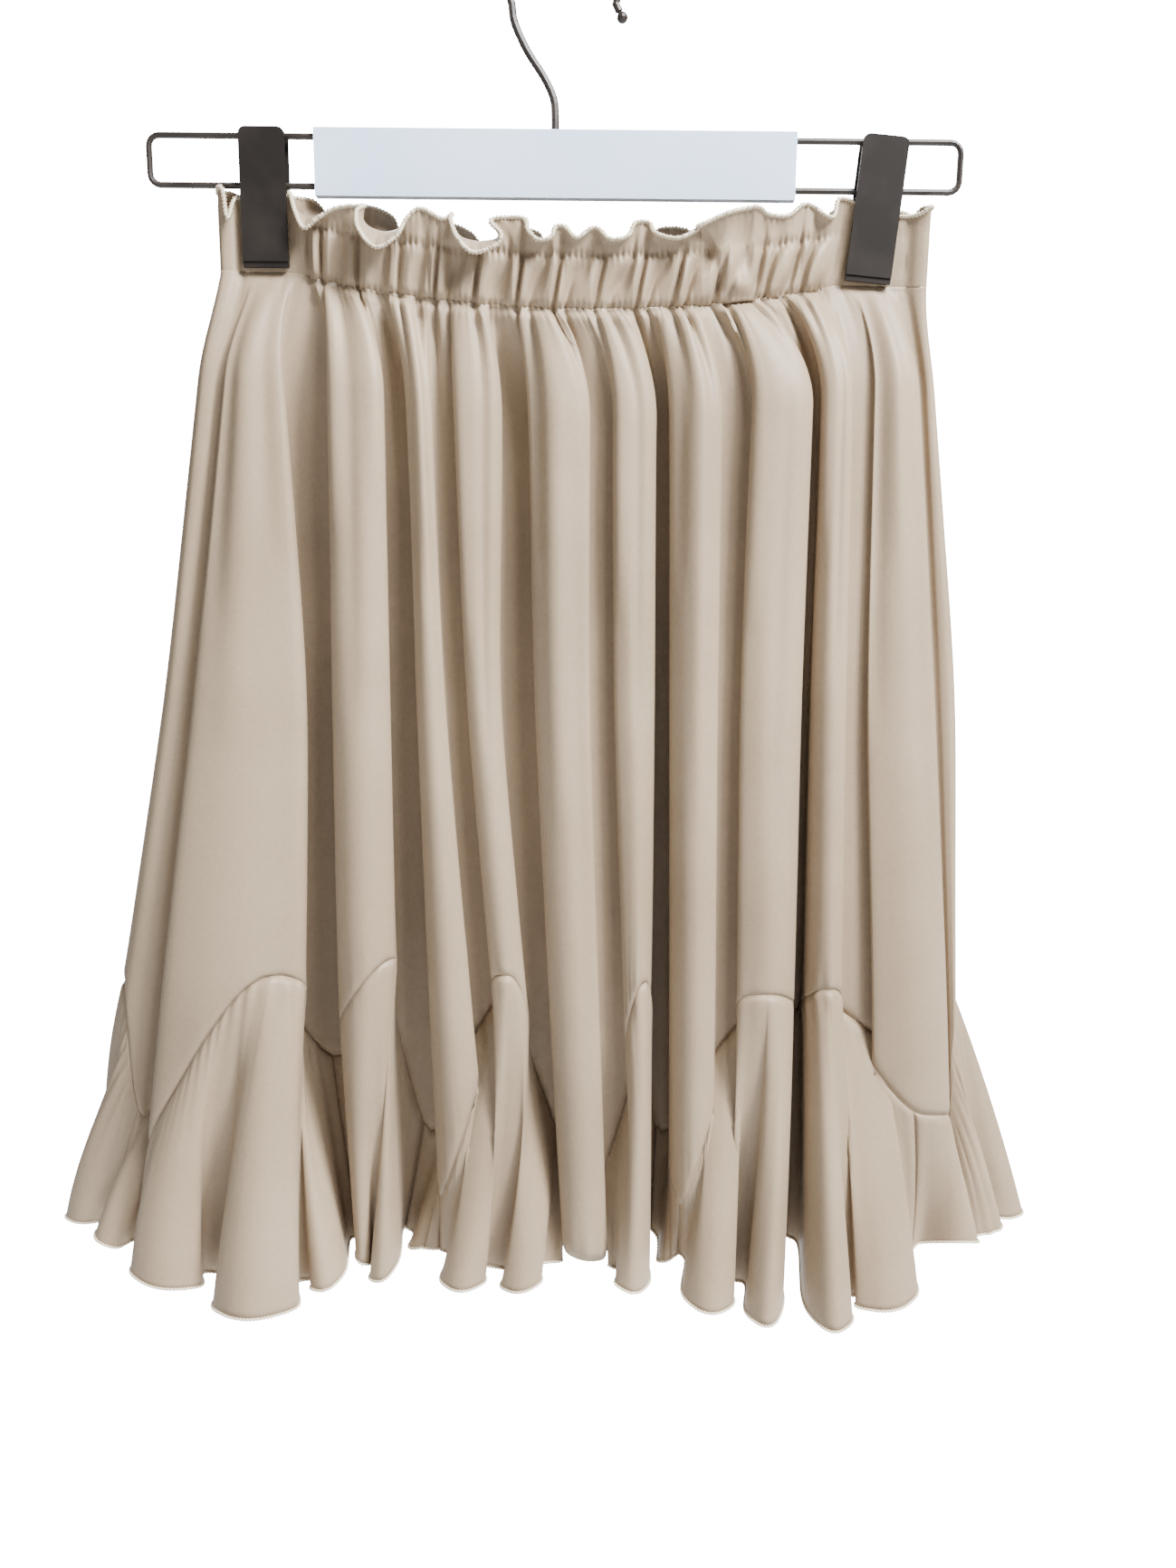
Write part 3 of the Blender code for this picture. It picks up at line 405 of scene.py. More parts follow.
def fold_section(side, z):
    """One panel's section at height z, as (across, out), from its left seam to its right."""
    folds = side.folds
    left_end, right_end = (at_level(ends, z) for ends in side.ends)
    lefts = [at_level(fold.left, z) for fold in folds]
    rights = [at_level(fold.right, z) for fold in folds]
    valleys = [(lefts[0] - NECK, depth_at(side.first_valley, z))]
    for index, fold in enumerate(folds):
        following = lefts[index + 1] if index + 1 < len(folds) else rights[index] + 2 * NECK
        out = max(depth_at(fold.valley, z) - VALLEY_SINK, SHALLOWEST)
        valleys.append(((rights[index] + following) / 2, out))
    points = side_points(left_end, valleys[0])
    for index, fold in enumerate(folds):
        points.append(valleys[index])
        crown = depth_at(fold.crown, z)
        points += fold_points(valleys[index], lefts[index], rights[index], crown, valleys[index + 1])
    points.append(valleys[-1])
    return np.array(points + side_points(right_end, valleys[-1])[::-1])


def smooth_through(points, steps):
    """A soft curve through rows of values, with so many steps from one to the next."""
    points = np.asarray(points, float)
    ends = np.vstack([2 * points[:1] - points[1:2], points, 2 * points[-1:] - points[-2:-1]])
    a, b, c, d = ends[:-3], ends[1:-2], ends[2:-1], ends[3:]
    parts = []
    for t in np.arange(steps) / steps:
        parts.append(0.5 * (2 * b + (c - a) * t + (2 * a - 5 * b + 4 * c - d) * t ** 2
                            + (3 * b - a - 3 * c + d) * t ** 3))
    fine = np.stack(parts, 1).reshape(-1, points.shape[1])
    return np.vstack([fine, points[-1:]])


def soften(values, spread):
    """A running mean along the first axis, its ends held."""
    reach = int(3 * spread)
    weights = np.exp(-0.5 * (np.arange(-reach, reach + 1) / spread) ** 2)
    weights /= weights.sum()
    held = np.concatenate([np.repeat(values[:1], reach, 0), values, np.repeat(values[-1:], reach, 0)])
    return sum(weight * held[i:i + len(values)] for i, weight in enumerate(weights))


def bow_share(side, across):
    share = (across * side.turn - BOW_LEFT) / (BOW_RIGHT - BOW_LEFT)
    return np.sin(np.pi * np.clip(share, 0, 1)) ** 0.9


class Panel:
    """One side's cloth, sampled finely by column (across the folds) and height."""

    def __init__(self, side):
        self.side = side
        self.last = 2 * len(END_LOOP) + 8 * len(side.folds)
        self.levels = np.arange(HIGHEST, LOWEST, -LEVEL_STEP)
        sections = np.array([smooth_through(fold_section(side, z), FINE) for z in self.levels])
        self.sections = soften(sections, LEVEL_SOFTNESS)
        self.columns = np.arange(self.last * FINE + 1) / FINE
        loops = len(END_LOOP)
        left, right = side.waist
        waist = [(left + inwards, out) for inwards, out in END_LOOP]
        for column in range(loops, self.last - loops + 1):
            share = (column - loops) / (self.last - 2 * loops)
            across = mix(left + FLAT_START, right - FLAT_START, share)
            waist.append((across, PINCH + side.bow * float(bow_share(side, across))))
        waist += [(right - inwards, out) for inwards, out in END_LOOP[::-1]]
        self.waist = smooth_through(waist, FINE)
        x = self.waist[:, 0] * side.turn
        level = mix(SEAM_LEFT_Z, SEAM_RIGHT_Z, (x - FRONT.waist[0]) / (FRONT.waist[1] - FRONT.waist[0]))
        self.seam = level - side.sag * bow_share(side, self.waist[:, 0]) ** 0.9
        heights = np.empty_like(self.columns)
        for start, end in zip(side.edge, side.edge[1:]):
            high, low = (start, end) if start.z > end.z else (end, start)
            here = (self.columns >= start.column) & (self.columns <= end.column)
            share = np.abs(self.columns[here] - high.column) / (end.column - start.column)
            share = np.maximum(share - ARCH_CROWN, 0) / (1 - ARCH_CROWN)
            heights[here] = mix(high.z, low.z, share ** ARCH_POWER)
        self.edge = soften(heights, EDGE_SOFTNESS)
        self.edge_line = np.array([self.fold_point(c, z) for c, z in zip(self.columns, self.edge)])
        steps = np.linalg.norm(np.diff(np.column_stack([self.edge_line, self.edge]), axis=0), axis=1)
        self.along = np.concatenate([[0], np.cumsum(steps)])
        level_steps = []
        for c, z in zip(self.columns[:-1], (self.edge[:-1] + self.edge[1:]) / 2):
            level_steps.append(np.linalg.norm(self.fold_point(c + 1 / FINE, z) - self.fold_point(c, z)))
        slopes = np.abs(np.diff(self.edge)) / np.maximum(level_steps, 0.05)
        self.steepness = soften(np.append(slopes, slopes[-1]), EDGE_SOFTNESS)

    def fold_point(self, column, z):
        """(across, out) on the smooth folds, for single values or arrays."""
        level = np.clip((self.levels[0] - np.asarray(z)) / LEVEL_STEP, 0, len(self.levels) - 1.001)
        place = np.clip(np.asarray(column) * FINE, 0, len(self.columns) - 1.001)
        row = np.floor(level).astype(int)
        point = np.floor(place).astype(int)
        down = (level - row)[..., None]
        across = (place - point)[..., None]
        upper = mix(self.sections[row, point], self.sections[row, point + 1], across)
        lower = mix(self.sections[row + 1, point], self.sections[row + 1, point + 1], across)
        return mix(upper, lower, down)

    def read(self, values, column):
        return np.interp(column, self.columns, values)

    def waist_blend(self, column, z):
        """(across, out) of the cloth before its fine gathers and creases."""
        drop = self.read(self.seam, column) - z
        share = 1 - (1 - np.clip(drop / GATHER_DROP, 0, 1)[..., None]) ** 2
        waist = np.stack([self.read(self.waist[:, 0], column),
                          self.read(self.waist[:, 1], column)], -1)
        return mix(waist, self.fold_point(column, z), share)


def world(side, across, out):
    return side.turn * across, -side.turn * out


# Short creases on the folds: column, drop below the waist where it starts, its length, its
# width in columns, and how far it stands out (or in, below zero), in millimetres
Crease = namedtuple("Crease", "column drop length width out")
FRONT_CREASES = (
    Crease(6.6, 4, 150, 0.45, -1.6), Crease(7.6, 2, 210, 0.55, 1.5), Crease(8.7, 6, 120, 0.5, -1.4),
    Crease(9.8, 30, 300, 0.5, 1.2), Crease(14.7, 2, 110, 0.5, 1.4), Crease(15.7, 4, 190, 0.6, -1.5),
    Crease(17.2, 3, 90, 0.5, 1.2), Crease(22.6, 4, 160, 0.6, -1.4), Crease(24.4, 2, 120, 0.5, 1.4),
    Crease(25.6, 50, 240, 0.7, -1.0), Crease(30.7, 3, 150, 0.5, 1.3), Crease(32.3, 5, 200, 0.6, -1.6),
    Crease(38.6, 2, 110, 0.45, -1.5), Crease(39.7, 3, 230, 0.6, 1.5), Crease(41.0, 60, 260, 0.6, -1.1),
    Crease(46.8, 2, 130, 0.5, 1.4), Crease(48.3, 4, 190, 0.55, -1.5), Crease(54.8, 3, 120, 0.5, -1.3),
    Crease(56.3, 2, 220, 0.6, 1.3), Crease(62.7, 4, 140, 0.5, 1.4), Crease(64.2, 3, 240, 0.6, -1.5),
    Crease(70.8, 2, 110, 0.5, 1.2), Crease(72.4, 5, 170, 0.5, -1.3), Crease(78.6, 3, 200, 0.5, -1.5),
    Crease(79.9, 2, 130, 0.5, 1.3), Crease(81.0, 40, 260, 0.5, -1.1),
)
BACK_CREASES = (
    Crease(6.8, 3, 170, 0.5, 1.4), Crease(8.4, 5, 230, 0.6, -1.4), Crease(9.6, 40, 200, 0.5, 1.1),
    Crease(15.6, 3, 130, 0.5, -1.4), Crease(17.0, 2, 200, 0.6, 1.3), Crease(23.5, 4, 160, 0.5, 1.4),
    Crease(25.2, 3, 110, 0.5, -1.3), Crease(31.0, 5, 240, 0.6, -1.4), Crease(32.6, 2, 120, 0.5, 1.4),
    Crease(39.2, 3, 180, 0.5, 1.3), Crease(40.8, 4, 140, 0.6, -1.5), Crease(47.4, 2, 210, 0.6, -1.3),
    Crease(49.0, 3, 120, 0.5, 1.4), Crease(55.3, 4, 170, 0.5, 1.3), Crease(56.7, 3, 230, 0.6, -1.4),
    Crease(63.0, 2, 150, 0.5, -1.4), Crease(64.8, 3, 190, 0.6, 1.3),
)
CREASES = {"front": FRONT_CREASES, "back": BACK_CREASES}
GATHER_DEPTH = 4.0
GATHER_STEP = 2.3
SEAM_PINCH = 2.2
CREASE_DEPTH = 1.25
SEAM_DIP = 1.3
SEAM_DIP_WIDTH = 1.6
BODY_SPREAD = (60000, 2500)
SEAM_PUCKER = 0.8
SEAM_PUCKER_LENGTH = 9
SEAM_PUCKER_STEP = 8.5
GATHER_PLACES = np.arange(96)
GATHER_REACH = (10, 58)
GATHER_STRENGTH = (0.6, 1.25)
GATHER_CENTRE = 0.62
FINE_GATHER = 2.9 * np.pi
draw = np.random.default_rng(11)
gather_reach = {name: draw.uniform(*GATHER_REACH, len(GATHER_PLACES)) for name in SIDES}
gather_depth = {name: draw.uniform(*GATHER_STRENGTH, len(GATHER_PLACES)) for name in SIDES}


def gather_profile(column, slant=0.0):
    """0 in the narrow groove between two gathers and 1 on their broad round backs."""
    place = column + 0.5 * np.sin(1.31 * column + 1) + 0.32 * np.sin(0.47 * column) + slant
    return 1 - (0.5 + 0.5 * np.cos(2 * np.pi * place / GATHER_STEP)) ** 2.4


def flat_in_clip(panel, column):
    """0 where the clips press the cloth flat, 1 along the rest of the waist."""
    out = panel.read(panel.waist[:, 1], column)
    ends = (column > len(END_LOOP)) & (column < panel.last - len(END_LOOP))
    return np.clip((out - PINCH) / 3, 0.12, 1) * ends


def fine_relief(panel, column, z):
    """How far the cloth stands off its smooth folds: gathers at the waist, then creases."""
    side = panel.side
    drop = panel.read(panel.seam, column) - z
    reach = np.interp(column, GATHER_PLACES, gather_reach[side.name])
    strength = np.interp(column, GATHER_PLACES, gather_depth[side.name])
    fine = 0.2 * np.cos(FINE_GATHER * column) * np.exp(-drop / 10)
    wave = gather_profile(column) - GATHER_CENTRE + fine
    relief = GATHER_DEPTH * strength * wave * np.exp(-(np.maximum(drop, 0) / reach) ** 1.3)
    pinch = np.exp(-(drop / 2.2) ** 2)
    relief = flat_in_clip(panel, column) * (relief * (1 - 0.5 * pinch) - SEAM_PINCH * pinch)
    for crease in CREASES[side.name]:
        down = (drop - crease.drop) / crease.length
        fade = np.sin(np.pi * np.clip(down, 0, 1)) ** 0.7 * (down > 0) * (down < 1)
        across = (column - crease.column) / crease.width
        relief = relief + CREASE_DEPTH * crease.out * fade * np.exp(-across ** 2)
    return relief


def seam_dip(points, distance):
    """The sewn edge is drawn in, both of its pieces the same way, towards the inside."""
    outwards = points[..., :2] / np.array(BODY_SPREAD)
    outwards /= np.maximum(np.linalg.norm(outwards, axis=-1, keepdims=True), 1e-6)
    dip = -SEAM_DIP * np.exp(-(distance / SEAM_DIP_WIDTH) ** 2)
    moved = points.copy()
    moved[..., :2] += outwards * dip[..., None]
    return moved


def seam_pucker(distance, along):
    """Short puckers that run off the stitches."""
    wave = np.sin(2 * np.pi * along / SEAM_PUCKER_STEP + 1.7 * np.sin(along / 23))
    away = np.clip(distance / 2, 0, 1) * np.exp(-distance / SEAM_PUCKER_LENGTH)
    return SEAM_PUCKER * wave * away * (0.6 + 0.4 * np.sin(along / 31))


def cloth_points(panel, column, z):
    """World points of the cloth, its fine relief pushed out along the folds' own normals."""
    step = 0.6 / FINE
    before = panel.waist_blend(np.clip(column - step, 0, panel.last), z)
    after = panel.waist_blend(np.clip(column + step, 0, panel.last), z)
    here = panel.waist_blend(column, z)
    along = after - before
    along /= np.maximum(np.linalg.norm(along, axis=-1, keepdims=True), 1e-6)
    relief = fine_relief(panel, column, z)
    here = here + np.stack([-along[..., 1], along[..., 0]], -1) * relief[..., None]
    x, y = world(panel.side, here[..., 0], here[..., 1])
    return np.stack([x, y, np.broadcast_to(z, x.shape)], -1)


def grid_normals(points):
    """Outward normals of a grid of points that runs left to right and top to bottom."""
    across = np.gradient(points, axis=1)
    down = np.gradient(points, axis=0)
    normals = np.cross(down, across)
    return normals / np.maximum(np.linalg.norm(normals, axis=-1, keepdims=True), 1e-9)


def add_shell(name, points, material, thickness=0.45):
    """A thin shell of cloth through a grid of points in millimetres."""
    rows, columns = points.shape[:2]
    numbers = np.arange(rows * columns).reshape(rows, columns)
    faces = np.stack([numbers[:-1, :-1], numbers[1:, :-1], numbers[1:, 1:], numbers[:-1, 1:]], -1)
    mesh = bpy.data.meshes.new(name)
    mesh.from_pydata((points.reshape(-1, 3) * MM).tolist(), [], faces.reshape(-1, 4).tolist())
    mesh.materials.append(material)
    shell = bpy.data.objects.new(name, mesh)
    bpy.context.scene.collection.objects.link(shell)
    if thickness:
        wall = shell.modifiers.new("Thickness", "SOLIDIFY")
        wall.thickness = thickness * MM
        wall.offset = -1
    mesh.shade_smooth()
    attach(shell, "root")
    return shell


panels = {name: Panel(side) for name, side in SIDES.items()}
ROW_DROPS = np.concatenate([np.arange(-1, 12, 1.2), np.arange(12, 60, 3), np.arange(60, 250, 6.5)])
EDGE_ROWS = 26
for name, panel in panels.items():
    rows = [panel.seam - 0.15 - drop for drop in ROW_DROPS]
    for share in np.linspace(0, 1, EDGE_ROWS + 1)[1:] ** 0.8:
        rows.append(mix(rows[len(ROW_DROPS) - 1], panel.edge, share))
    heights = np.array(rows)
    columns = np.broadcast_to(panel.columns, heights.shape)
    points = cloth_points(panel, columns, heights)
    normals = grid_normals(points)
    distance = (heights - panel.edge) / np.hypot(1, panel.steepness)
    points = seam_dip(points + normals * seam_pucker(distance, panel.along)[..., None], distance)
    shell = add_shell(f"{name}_panel_cloth", points, crepe)
    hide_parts(f"{name}_panel")

# The side seams of the body are two edges that meet within a thread's width, so they need no
# piece of their own.

# The overlock thread
# Cream thread wrapped tightly round every raw edge: the top of the frill and the godets' hems.
STITCH_STEP = 1.6
STITCH_SIDES = 6
FRILL_THREAD_RADIUS = 1.15
HEM_THREAD_RADIUS = 0.9


def lengths_along(points):
    steps = np.linalg.norm(np.diff(points, axis=0), axis=1)
    return np.concatenate([[0], np.cumsum(steps)])


def add_overlock(name, edge, radius):
    """A thin beaded roll of thread along an edge, one bead for each stitch."""
    along = lengths_along(edge)
    count = int(along[-1] / STITCH_STEP) * 3
    places = np.linspace(0, along[-1], count + 1)
    centre = np.stack([np.interp(places, along, edge[:, axis]) for axis in range(3)], -1)
    tangent = np.gradient(centre, axis=0)
    tangent /= np.maximum(np.linalg.norm(tangent, axis=1, keepdims=True), 1e-9)
    side_way = np.cross(tangent, (0, 0, 1.0))
    side_way /= np.maximum(np.linalg.norm(side_way, axis=1, keepdims=True), 1e-6)
    up = np.cross(side_way, tangent)
    bead = radius * (0.78 + 0.3 * np.cos(2 * np.pi * places / STITCH_STEP))
    rings = []
    for step in range(STITCH_SIDES + 1):
        angle = 2 * math.pi * step / STITCH_SIDES
        rings.append(centre + bead[:, None] * (math.cos(angle) * side_way + math.sin(angle) * up))
    roll = add_shell(name, np.array(rings), thread, thickness=0)
    return roll


# The godets
# Flared pieces of the same crepe, each sewn into an arch of the body's lower edge and to its
# neighbours below the points between the arches. Their hems hang in round flutes.
Lobe = namedtuple("Lobe", "left right crown valley")
Godet = namedtuple("Godet", "name run apex facing start end hem_z lobes")
SEAM_HEM = -606
FAN_POWER = 1.5
GODETS = (
    Godet("godet_side_left", (("back", 68, 72), ("front", 0, 3)), 6, 270,
          (-212, 30), (-227, -12), -612,
          (Lobe(-27, -15, 240, 226), Lobe(-9, 9, 256, 0))),
    Godet("godet_short_front_1", (("front", 3, 6),), 1, 315, (-227, -12), (-207, -30), -606,
          (Lobe(-148, -129, 184, 0),)),
    Godet("godet_tall_front_1", (("front", 6, 12),), 3, 0, (-207, -30), (-100, -22), -619,
          (Lobe(-206, -171, 60, 34), Lobe(-163, -121, 78, 44), Lobe(-118, -102, 58, 0))),
    Godet("godet_tall_front_2", (("front", 12, 20),), 6, 0, (-100, -22), (-78, -14), -612,
          (Lobe(-99, -91, 42, 33), Lobe(-91, -77, 50, 0))),
    Godet("godet_short_front_2", (("front", 20, 22),), 1, 0, (-78, -14), (-58, -34), -607,
          (Lobe(-74, -64, 32, 0),)),
    Godet("godet_tall_front_3", (("front", 22, 38),), 10, 0, (-58, -34), (3.9, -42.9), -611,
          (Lobe(-55, -33, 66, 40), Lobe(-26, -6, 61, 0))),
    Godet("godet_tall_front_4", (("front", 42, 52),), 7, 0, (25.7, -46.7), (48, -13), -614,
          (Lobe(29, 46.5, 62, 0),)),
    Godet("godet_short_front_3", (("front", 52, 55),), 1, 0, (48, -13), (61, -36), -614,
          (Lobe(51, 57.5, 36, 0),)),
    Godet("godet_tall_front_5", (("front", 55, 68),), 9, 0, (61, -36), (116.5, -18), -619,
          (Lobe(61, 86, 72, 42), Lobe(91, 110.5, 74, 0))),
    Godet("godet_tall_front_6", (("front", 68, 80),), 4, 0, (116.5, -18), (178, -30), -620,
          (Lobe(119.5, 141, 80, 52), Lobe(144, 176, 64, 0))),
    Godet("godet_short_front_4", (("front", 80, 84),), 2, 60, (178, -30), (204, -20), -600,
          (Lobe(67, 81, 198, 0),)),
    Godet("godet_side_right", (("front", 84, 88), ("back", 0, 4)), 4, 90,
          (204, -20), (205, 30), -602,
          (Lobe(-17, -8, 228, 216), Lobe(-1, 11, 244, 227), Lobe(17, 27, 236, 0))),
    Godet("godet_tall_back_1", (("back", 4, 12),), 5, 180, (205, 30), (112, 22), -612,
          (Lobe(-195, -162, 54, 36), Lobe(-153, -117, 66, 0))),
    Godet("godet_tall_back_2", (("back", 12, 20),), 5, 180, (112, 22), (76, 16), -615,
          (Lobe(-108.5, -97, 60, 40), Lobe(-90, -79, 56, 0))),
    Godet("godet_short_back", (("back", 20, 22),), 1, 180, (76, 16), (62, 32), -608,
          (Lobe(-73, -65, 30, 0),)),
    Godet("godet_tall_back_3", (("back", 22, 36),), 9, 180, (62, 32), (6, 16), -616,
          (Lobe(-57, -43, 66, 46), Lobe(-34, -10, 63, 0))),
    Godet("godet_tall_back_4", (("back", 36, 44),), 5, 180, (6, 16), (-36, 34), -614,
          (Lobe(-3, 13, 68, 46), Lobe(20, 32, 60, 0))),
    Godet("godet_tall_back_5", (("back", 44, 60),), 10, 180, (-36, 34), (-114, 18), -617,
          (Lobe(43, 72, 68, 46), Lobe(80, 109, 67, 0))),
    Godet("godet_tall_back_6", (("back", 60, 68),), 4, 180, (-114, 18), (-212, 30), -613,
          (Lobe(118, 156, 62, 38), Lobe(164, 201, 54, 0))),
)


def run_columns(godet):
    """The panels' fine columns that a godet hangs from, left to right, as (panel, column)."""
    columns = []
    for name, first, last in godet.run:
        panel = panels[name]
        stretch = np.arange(first * FINE, last * FINE + 1) / FINE
        if columns:
            stretch = stretch[1:]
        columns += [(panel, float(column)) for column in stretch]
    return columns


def hem_chain(godet):
    """Plan points of a godet's hem, as (x, y), through its lobes."""
    angle = math.radians(godet.facing)
    across_axis = np.array((math.cos(angle), math.sin(angle)))
    out_axis = np.array((math.sin(angle), -math.cos(angle)))
    start, end = np.array(godet.start), np.array(godet.end)
    valley = (float(start @ across_axis), float(start @ out_axis))
    last = (float(end @ across_axis), float(end @ out_axis))
    points = [valley]
    for index, lobe in enumerate(godet.lobes):
        following = last
        if index + 1 < len(godet.lobes):
            following = ((lobe.right + godet.lobes[index + 1].left) / 2, lobe.valley)
        points += fold_points(valley, lobe.left, lobe.right, lobe.crown, following)
        points.append(following)
        valley = following
    return np.array([across_axis * across + out_axis * out for across, out in points])


def fan(share, power):
    offset = 2 * share - 1
    return 0.5 + 0.5 * np.sign(offset) * np.abs(offset) ** power


GODET_ROWS = 44
HEM_SWAY = 3
for godet in GODETS:
    entries = run_columns(godet)
    tops = np.array([panel.read(panel.edge, column) for panel, column in entries])
    seam = np.array([cloth_points(panel, np.array([column]), np.array([top]))[0]
                     for (panel, column), top in zip(entries, tops)])
    seam_along = lengths_along(seam)
    half = godet.apex * FINE
    left = 0.5 * seam_along[:half + 1] / seam_along[half]
    right = 0.5 + 0.5 * (seam_along[half:] - seam_along[half]) / (seam_along[-1] - seam_along[half])
    run_shares = np.concatenate([left, right[1:]])
    hem = smooth_through(hem_chain(godet), 8)
    hem_along = lengths_along(hem)
    strips = int(np.clip(hem_along[-1] / 1.9, 26, 150))
    hem_shares = np.linspace(0, 1, strips + 1)
    run_place = np.interp(fan(hem_shares, FAN_POWER), run_shares, np.arange(len(entries)))
    foot = np.stack([np.interp(hem_shares, hem_along / hem_along[-1], hem[:, axis])
                     for axis in (0, 1)], -1)
    foot_z = mix(SEAM_HEM, godet.hem_z, np.sin(np.pi * hem_shares))
    slope = np.sin(1.4 * np.pi * len(godet.lobes) * hem_shares + godet.facing + godet.start[0])
    foot_z = foot_z + HEM_SWAY * slope * np.sin(np.pi * hem_shares)
    top_z = np.interp(run_place, np.arange(len(entries)), tops)
    low = np.clip(run_place.astype(int), 0, len(entries) - 2)
    part = (run_place - low)[:, None]
    shares = np.linspace(0, 1, GODET_ROWS + 1)
    grid = np.empty((len(shares), strips + 1, 3))
    for row, share in enumerate(shares):
        z = mix(top_z, foot_z, share)
        hanging = np.zeros((strips + 1, 2))
        for panel in panels.values():
            for index, weight in ((low, 1 - part), (low + 1, part)):
                mine = np.array([entries[i][0] is panel for i in index])
                if mine.any():
                    columns = np.array([entries[i][1] for i in index[mine]])
                    hanging[mine] += cloth_points(panel, columns, z[mine])[:, :2] * weight[mine]
        grid[row, :, :2] = mix(hanging, foot, share)
        grid[row, :, 2] = z
    seam_place = np.interp(run_place, np.arange(len(entries)),
                           [panel.read(panel.along, column) for panel, column in entries])
    steep = np.interp(run_place, np.arange(len(entries)),
                      [panel.read(panel.steepness, column) for panel, column in entries])
    distance = (top_z - grid[..., 2]) / np.hypot(1, steep)
    widths = np.linalg.norm(np.diff(grid[..., :2], axis=1), axis=-1)
    from_left = np.concatenate([np.zeros((len(shares), 1)), np.cumsum(widths, 1)], 1)
    from_side = np.minimum(from_left, from_left[:, -1:] - from_left)
    normals = grid_normals(grid)
    pucker = seam_pucker(distance, seam_place) * np.clip(from_side / 3, 0, 1)
    grid += normals * pucker[..., None]
    grid = seam_dip(grid, np.minimum(distance, from_side))
    shell = add_shell(f"{godet.name}_cloth", grid, crepe)
    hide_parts(godet.name)
    roll = add_overlock(f"hem_thread_{godet.name}", grid[-1], HEM_THREAD_RADIUS)

# The waistband
# A doubled strip of crepe with elastic run through it: the casing puckers between two rows of
# stitching, and the cloth above the upper row stands up as a frill that curls and flops over.
CASING = 22.2
CASING_DEPTH = 5.0
CASING_ROWS = 20
FRILL_ROWS = 14
FRILL_SPRING = 7
# The frill's free edge: column, sideways shift, rise above the stitches and reach to the front
Frill = namedtuple("Frill", "column shift rise out")
FRONT_FRILL = (
    Frill(0, 0, 11, 0), Frill(1, 1, 12.5, 1.5), Frill(2.1, 1.5, 11, 3), Frill(2.9, 0.5, -1, 5),
    Frill(3.6, 0, 8, 1), Frill(5, 0, 9.5, 0.3), Frill(9.5, 0, 10, 0.5), Frill(10.2, 0, 11.5, 1),
    Frill(11, 0, 4, 6), Frill(12.1, 0.5, -3, 8.5), Frill(13.6, 0, 1.5, 7), Frill(15.4, 0, 7.5, 4),
    Frill(17, 0, 10.5, 1.5), Frill(18.2, 1.5, 11.5, 1), Frill(19, 1.7, 12, 0.5),
    Frill(19.6, -3.4, 9, 5), Frill(20.3, -4, 1, 8), Frill(21.6, -1.3, -5, 9),
    Frill(23.2, 1.5, 1, 7), Frill(24.2, 1.5, 9, 3), Frill(26.2, 0, 14.5, 0),
    Frill(28.4, 1.5, 11, 1), Frill(29.4, 2, 13.5, 0), Frill(30, -0.5, 11, 4),
    Frill(30.9, -0.5, 3, 7.5), Frill(32.6, 0, -2.5, 8.5), Frill(34.4, 3, 1, 8),
    Frill(35.2, 2, 6, 6.5), Frill(35.9, -5, 11, 3), Frill(36.5, -5, 13.5, 1), Frill(38, 1, 14, 0),
    Frill(38.7, 0.3, 9, 4), Frill(40, 0, 4.5, 6.5), Frill(41.3, 0.8, 6, 5.5),
    Frill(42, -0.3, 10.5, 2.5), Frill(43, 0, 11, 1.5), Frill(44.4, 0, 6, 5),
    Frill(46, 0, 10.3, 2), Frill(47, 0, 10, 2), Frill(48.2, 0, 5.5, 5.5), Frill(50, 0.8, 6.5, 5),
    Frill(51.1, 0, 12.4, 1.5), Frill(52.6, 0.5, 12.6, 0.5), Frill(53.5, 0, 7.5, 4.5),
    Frill(56, 0, 4.8, 6.5), Frill(57.9, 0.8, 8, 5), Frill(58.6, 1.5, 11, 2),
    Frill(59.4, -4, 8.5, 7), Frill(61.4, 0, 13, 6), Frill(65, 0, 15, 5), Frill(66.8, 0, 12, 3),
    Frill(69.2, 0, 10.8, 2), Frill(71, 0, 14.6, 1), Frill(72.4, 0, 13, 1), Frill(73.6, 0, 8.5, 4),
    Frill(74.6, 0.6, 7, 4.5), Frill(75.4, 0, 14, 1.5), Frill(77.4, 0, 13, 1),
    Frill(78.2, 0.5, 9, 2), Frill(78.9, 0, 8, 0.5),
    Frill(84.5, 0, 8, 0.5), Frill(86.2, 0, 11, 2), Frill(88, 0, 11.5, 0),
)
